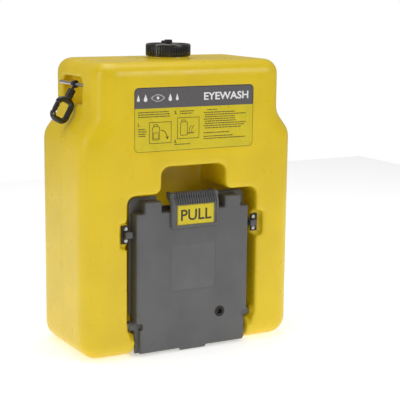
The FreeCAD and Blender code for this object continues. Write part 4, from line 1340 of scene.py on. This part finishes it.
KEPT_NODES = {
    "steel": ["anchor_bar_left", "anchor_bar_right", "hinge_pin_left", "hinge_pin_right", "handle_screws",
              "gate_pin_left", "gate_pin_right", "vent_clip"],
    "rubber": ["outlet_gasket", "valve_seals", "cap_gasket", "vent_washer", "drain_grommet"],
    "white_plastic": ["valve_body", "valve_spool", "riser_pipe", "pipe_clips", "strainer", "nozzle_screens",
                      "hinge_bush_left", "hinge_bush_right"],
    "clear_tube": ["supply_tube"],
    "plate_plastic": ["outlet_nut", "outlet_fitting"],
}


class EYEWASH_OT_kept(bpy.types.Operator):
    """Give the frame's own pins, seals, pipes and valve parts their finishes"""
    bl_idname = "eyewash.kept"
    bl_label = "Pins, seals and water path"

    def execute(self, context):
        for finish, nodes in KEPT_NODES.items():
            for node in nodes:
                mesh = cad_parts[node].data
                mesh.materials.clear()
                mesh.materials.append(make_finishes()[finish])
        return {"FINISHED"}


# ---------------------------------------------------------------- stage

FLOOR_HALF = 1.7
FLOOR_GAP = 0.6 * MM
CAMERA_PLACE = (-0.9472, -1.7990, 0.6129)
SENSOR_WIDTH = 36.0


def floor_material():
    finish = Finish("studio_floor")
    finish.paint(finish.blend_colours(finish.noise(0.4, 2.0), tinted(sizes("colours").floor, 0.99),
                                      sizes("colours").floor))
    finish.set(Roughness=0.7, Specular_IOR_Level=0.2, Emission_Strength=sizes("stage").floor_glow)
    finish.shader.inputs["Emission Color"].default_value = (1.0, 1.0, 1.0, 1.0)
    return finish.material


def white_surroundings(strength):
    """White studio: full white where it is seen, softer where it lights the object."""
    world = bpy.data.worlds.new("studio")
    world.use_nodes = True
    nodes = world.node_tree.nodes
    links = world.node_tree.links
    lighting = nodes["Background"]
    lighting.inputs["Color"].default_value = (1.0, 1.0, 1.0, 1.0)
    lighting.inputs["Strength"].default_value = strength
    seen = nodes.new("ShaderNodeBackground")
    seen.inputs["Color"].default_value = (1.0, 1.0, 1.0, 1.0)
    choice = nodes.new("ShaderNodeMixShader")
    links.new(nodes.new("ShaderNodeLightPath").outputs["Is Camera Ray"], choice.inputs["Fac"])
    links.new(lighting.outputs["Background"], choice.inputs[1])
    links.new(seen.outputs["Background"], choice.inputs[2])
    links.new(choice.outputs["Shader"], nodes["World Output"].inputs["Surface"])
    return world


def soft_light(name, place, target, size, power):
    light = bpy.data.lights.new(name, "AREA")
    light.shape = "RECTANGLE"
    light.size = size[0]
    light.size_y = size[1]
    light.energy = power
    lamp = object_from(light, name)
    lamp.location = place
    lamp.rotation_euler = (Vector(target) - Vector(place)).to_track_quat("-Z", "Y").to_euler()
    return lamp


class EYEWASH_OT_stage(bpy.types.Operator):
    """Set up the pale floor, the soft studio lights and the camera"""
    bl_idname = "eyewash.stage"
    bl_label = "Studio"

    def execute(self, context):
        stage = sizes("stage")
        bm = bmesh.new()
        bmesh.ops.create_grid(bm, x_segments=1, y_segments=1, size=FLOOR_HALF)
        floor = object_from(mesh_from(bm, "studio_floor", outward=False), "studio_floor")
        floor.location.z = -FLOOR_GAP
        floor.data.materials.append(floor_material())

        context.scene.world = white_surroundings(stage.surround)
        context.scene.view_settings.view_transform = "Standard"

        centre = (0.0, 0.0, 0.25)
        soft_light("key", (1.3, -2.3, 1.7), centre, (1.3, 1.3), stage.key_power)
        soft_light("fill", (-1.2, -2.4, 0.7), centre, (1.2, 1.2), stage.fill_power)
        soft_light("side", (-2.4, -0.1, 1.1), centre, (0.7, 1.9), stage.side_power)
        soft_light("top", (-0.1, 0.2, 2.3), centre, (1.8, 1.8), stage.top_power)

        lens = bpy.data.cameras.new("studio_view")
        lens.lens = stage.focal
        lens.sensor_width = SENSOR_WIDTH
        lens.clip_end = 50.0
        camera = object_from(lens, "studio_view")
        camera.location = CAMERA_PLACE
        turn = (Matrix.Rotation(stage.yaw, 4, "Z") @ Matrix.Rotation(math.pi / 2 - stage.pitch, 4, "X")
                @ Matrix.Rotation(stage.roll, 4, "Z"))
        camera.rotation_euler = turn.to_euler()
        context.scene.camera = camera
        return {"FINISHED"}


# ---------------------------------------------------------------- add-on

GROUPS = {"tank": EyewashTankSizes, "label": EyewashLabelSizes, "tray": EyewashTraySizes,
          "handle": EyewashHandleSizes, "cap": EyewashCapSizes, "catches": EyewashCatchSizes,
          "hooks": EyewashHookSizes, "colours": EyewashColours, "stage": EyewashStageSizes}
OPERATORS = (EYEWASH_OT_tank, EYEWASH_OT_label, EYEWASH_OT_tray, EYEWASH_OT_handle, EYEWASH_OT_cap,
             EYEWASH_OT_catches, EYEWASH_OT_springs, EYEWASH_OT_hooks, EYEWASH_OT_spray,
             EYEWASH_OT_kept, EYEWASH_OT_stage)


class EYEWASH_PT_station(bpy.types.Panel):
    """Lists the station's pieces and their sizes"""
    bl_idname = "EYEWASH_PT_station"
    bl_label = "Eyewash station"
    bl_space_type = "VIEW_3D"
    bl_region_type = "UI"
    bl_category = "Eyewash"

    def draw(self, context):
        for operator in OPERATORS:
            self.layout.operator(operator.bl_idname)
        for name, group in GROUPS.items():
            box = self.layout.box()
            box.label(text=name.capitalize())
            for prop in group.__annotations__:
                box.prop(sizes(name), prop)


def register():
    for name, group in GROUPS.items():
        bpy.utils.register_class(group)
        setattr(bpy.types.Scene, "eyewash_" + name, PointerProperty(type=group))
    for operator in OPERATORS:
        bpy.utils.register_class(operator)
    bpy.utils.register_class(EYEWASH_PT_station)


def unregister():
    bpy.utils.unregister_class(EYEWASH_PT_station)
    for operator in reversed(OPERATORS):
        bpy.utils.unregister_class(operator)
    for name, group in GROUPS.items():
        delattr(bpy.types.Scene, "eyewash_" + name)
        bpy.utils.unregister_class(group)


def main():
    register()
    bpy.ops.eyewash.tank()
    bpy.ops.eyewash.label()
    bpy.ops.eyewash.tray()
    bpy.ops.eyewash.handle()
    bpy.ops.eyewash.cap()
    bpy.ops.eyewash.catches()
    bpy.ops.eyewash.springs()
    bpy.ops.eyewash.hooks()
    bpy.ops.eyewash.spray()
    bpy.ops.eyewash.kept()
    bpy.ops.eyewash.stage()


if __name__ == "__main__":
    main()
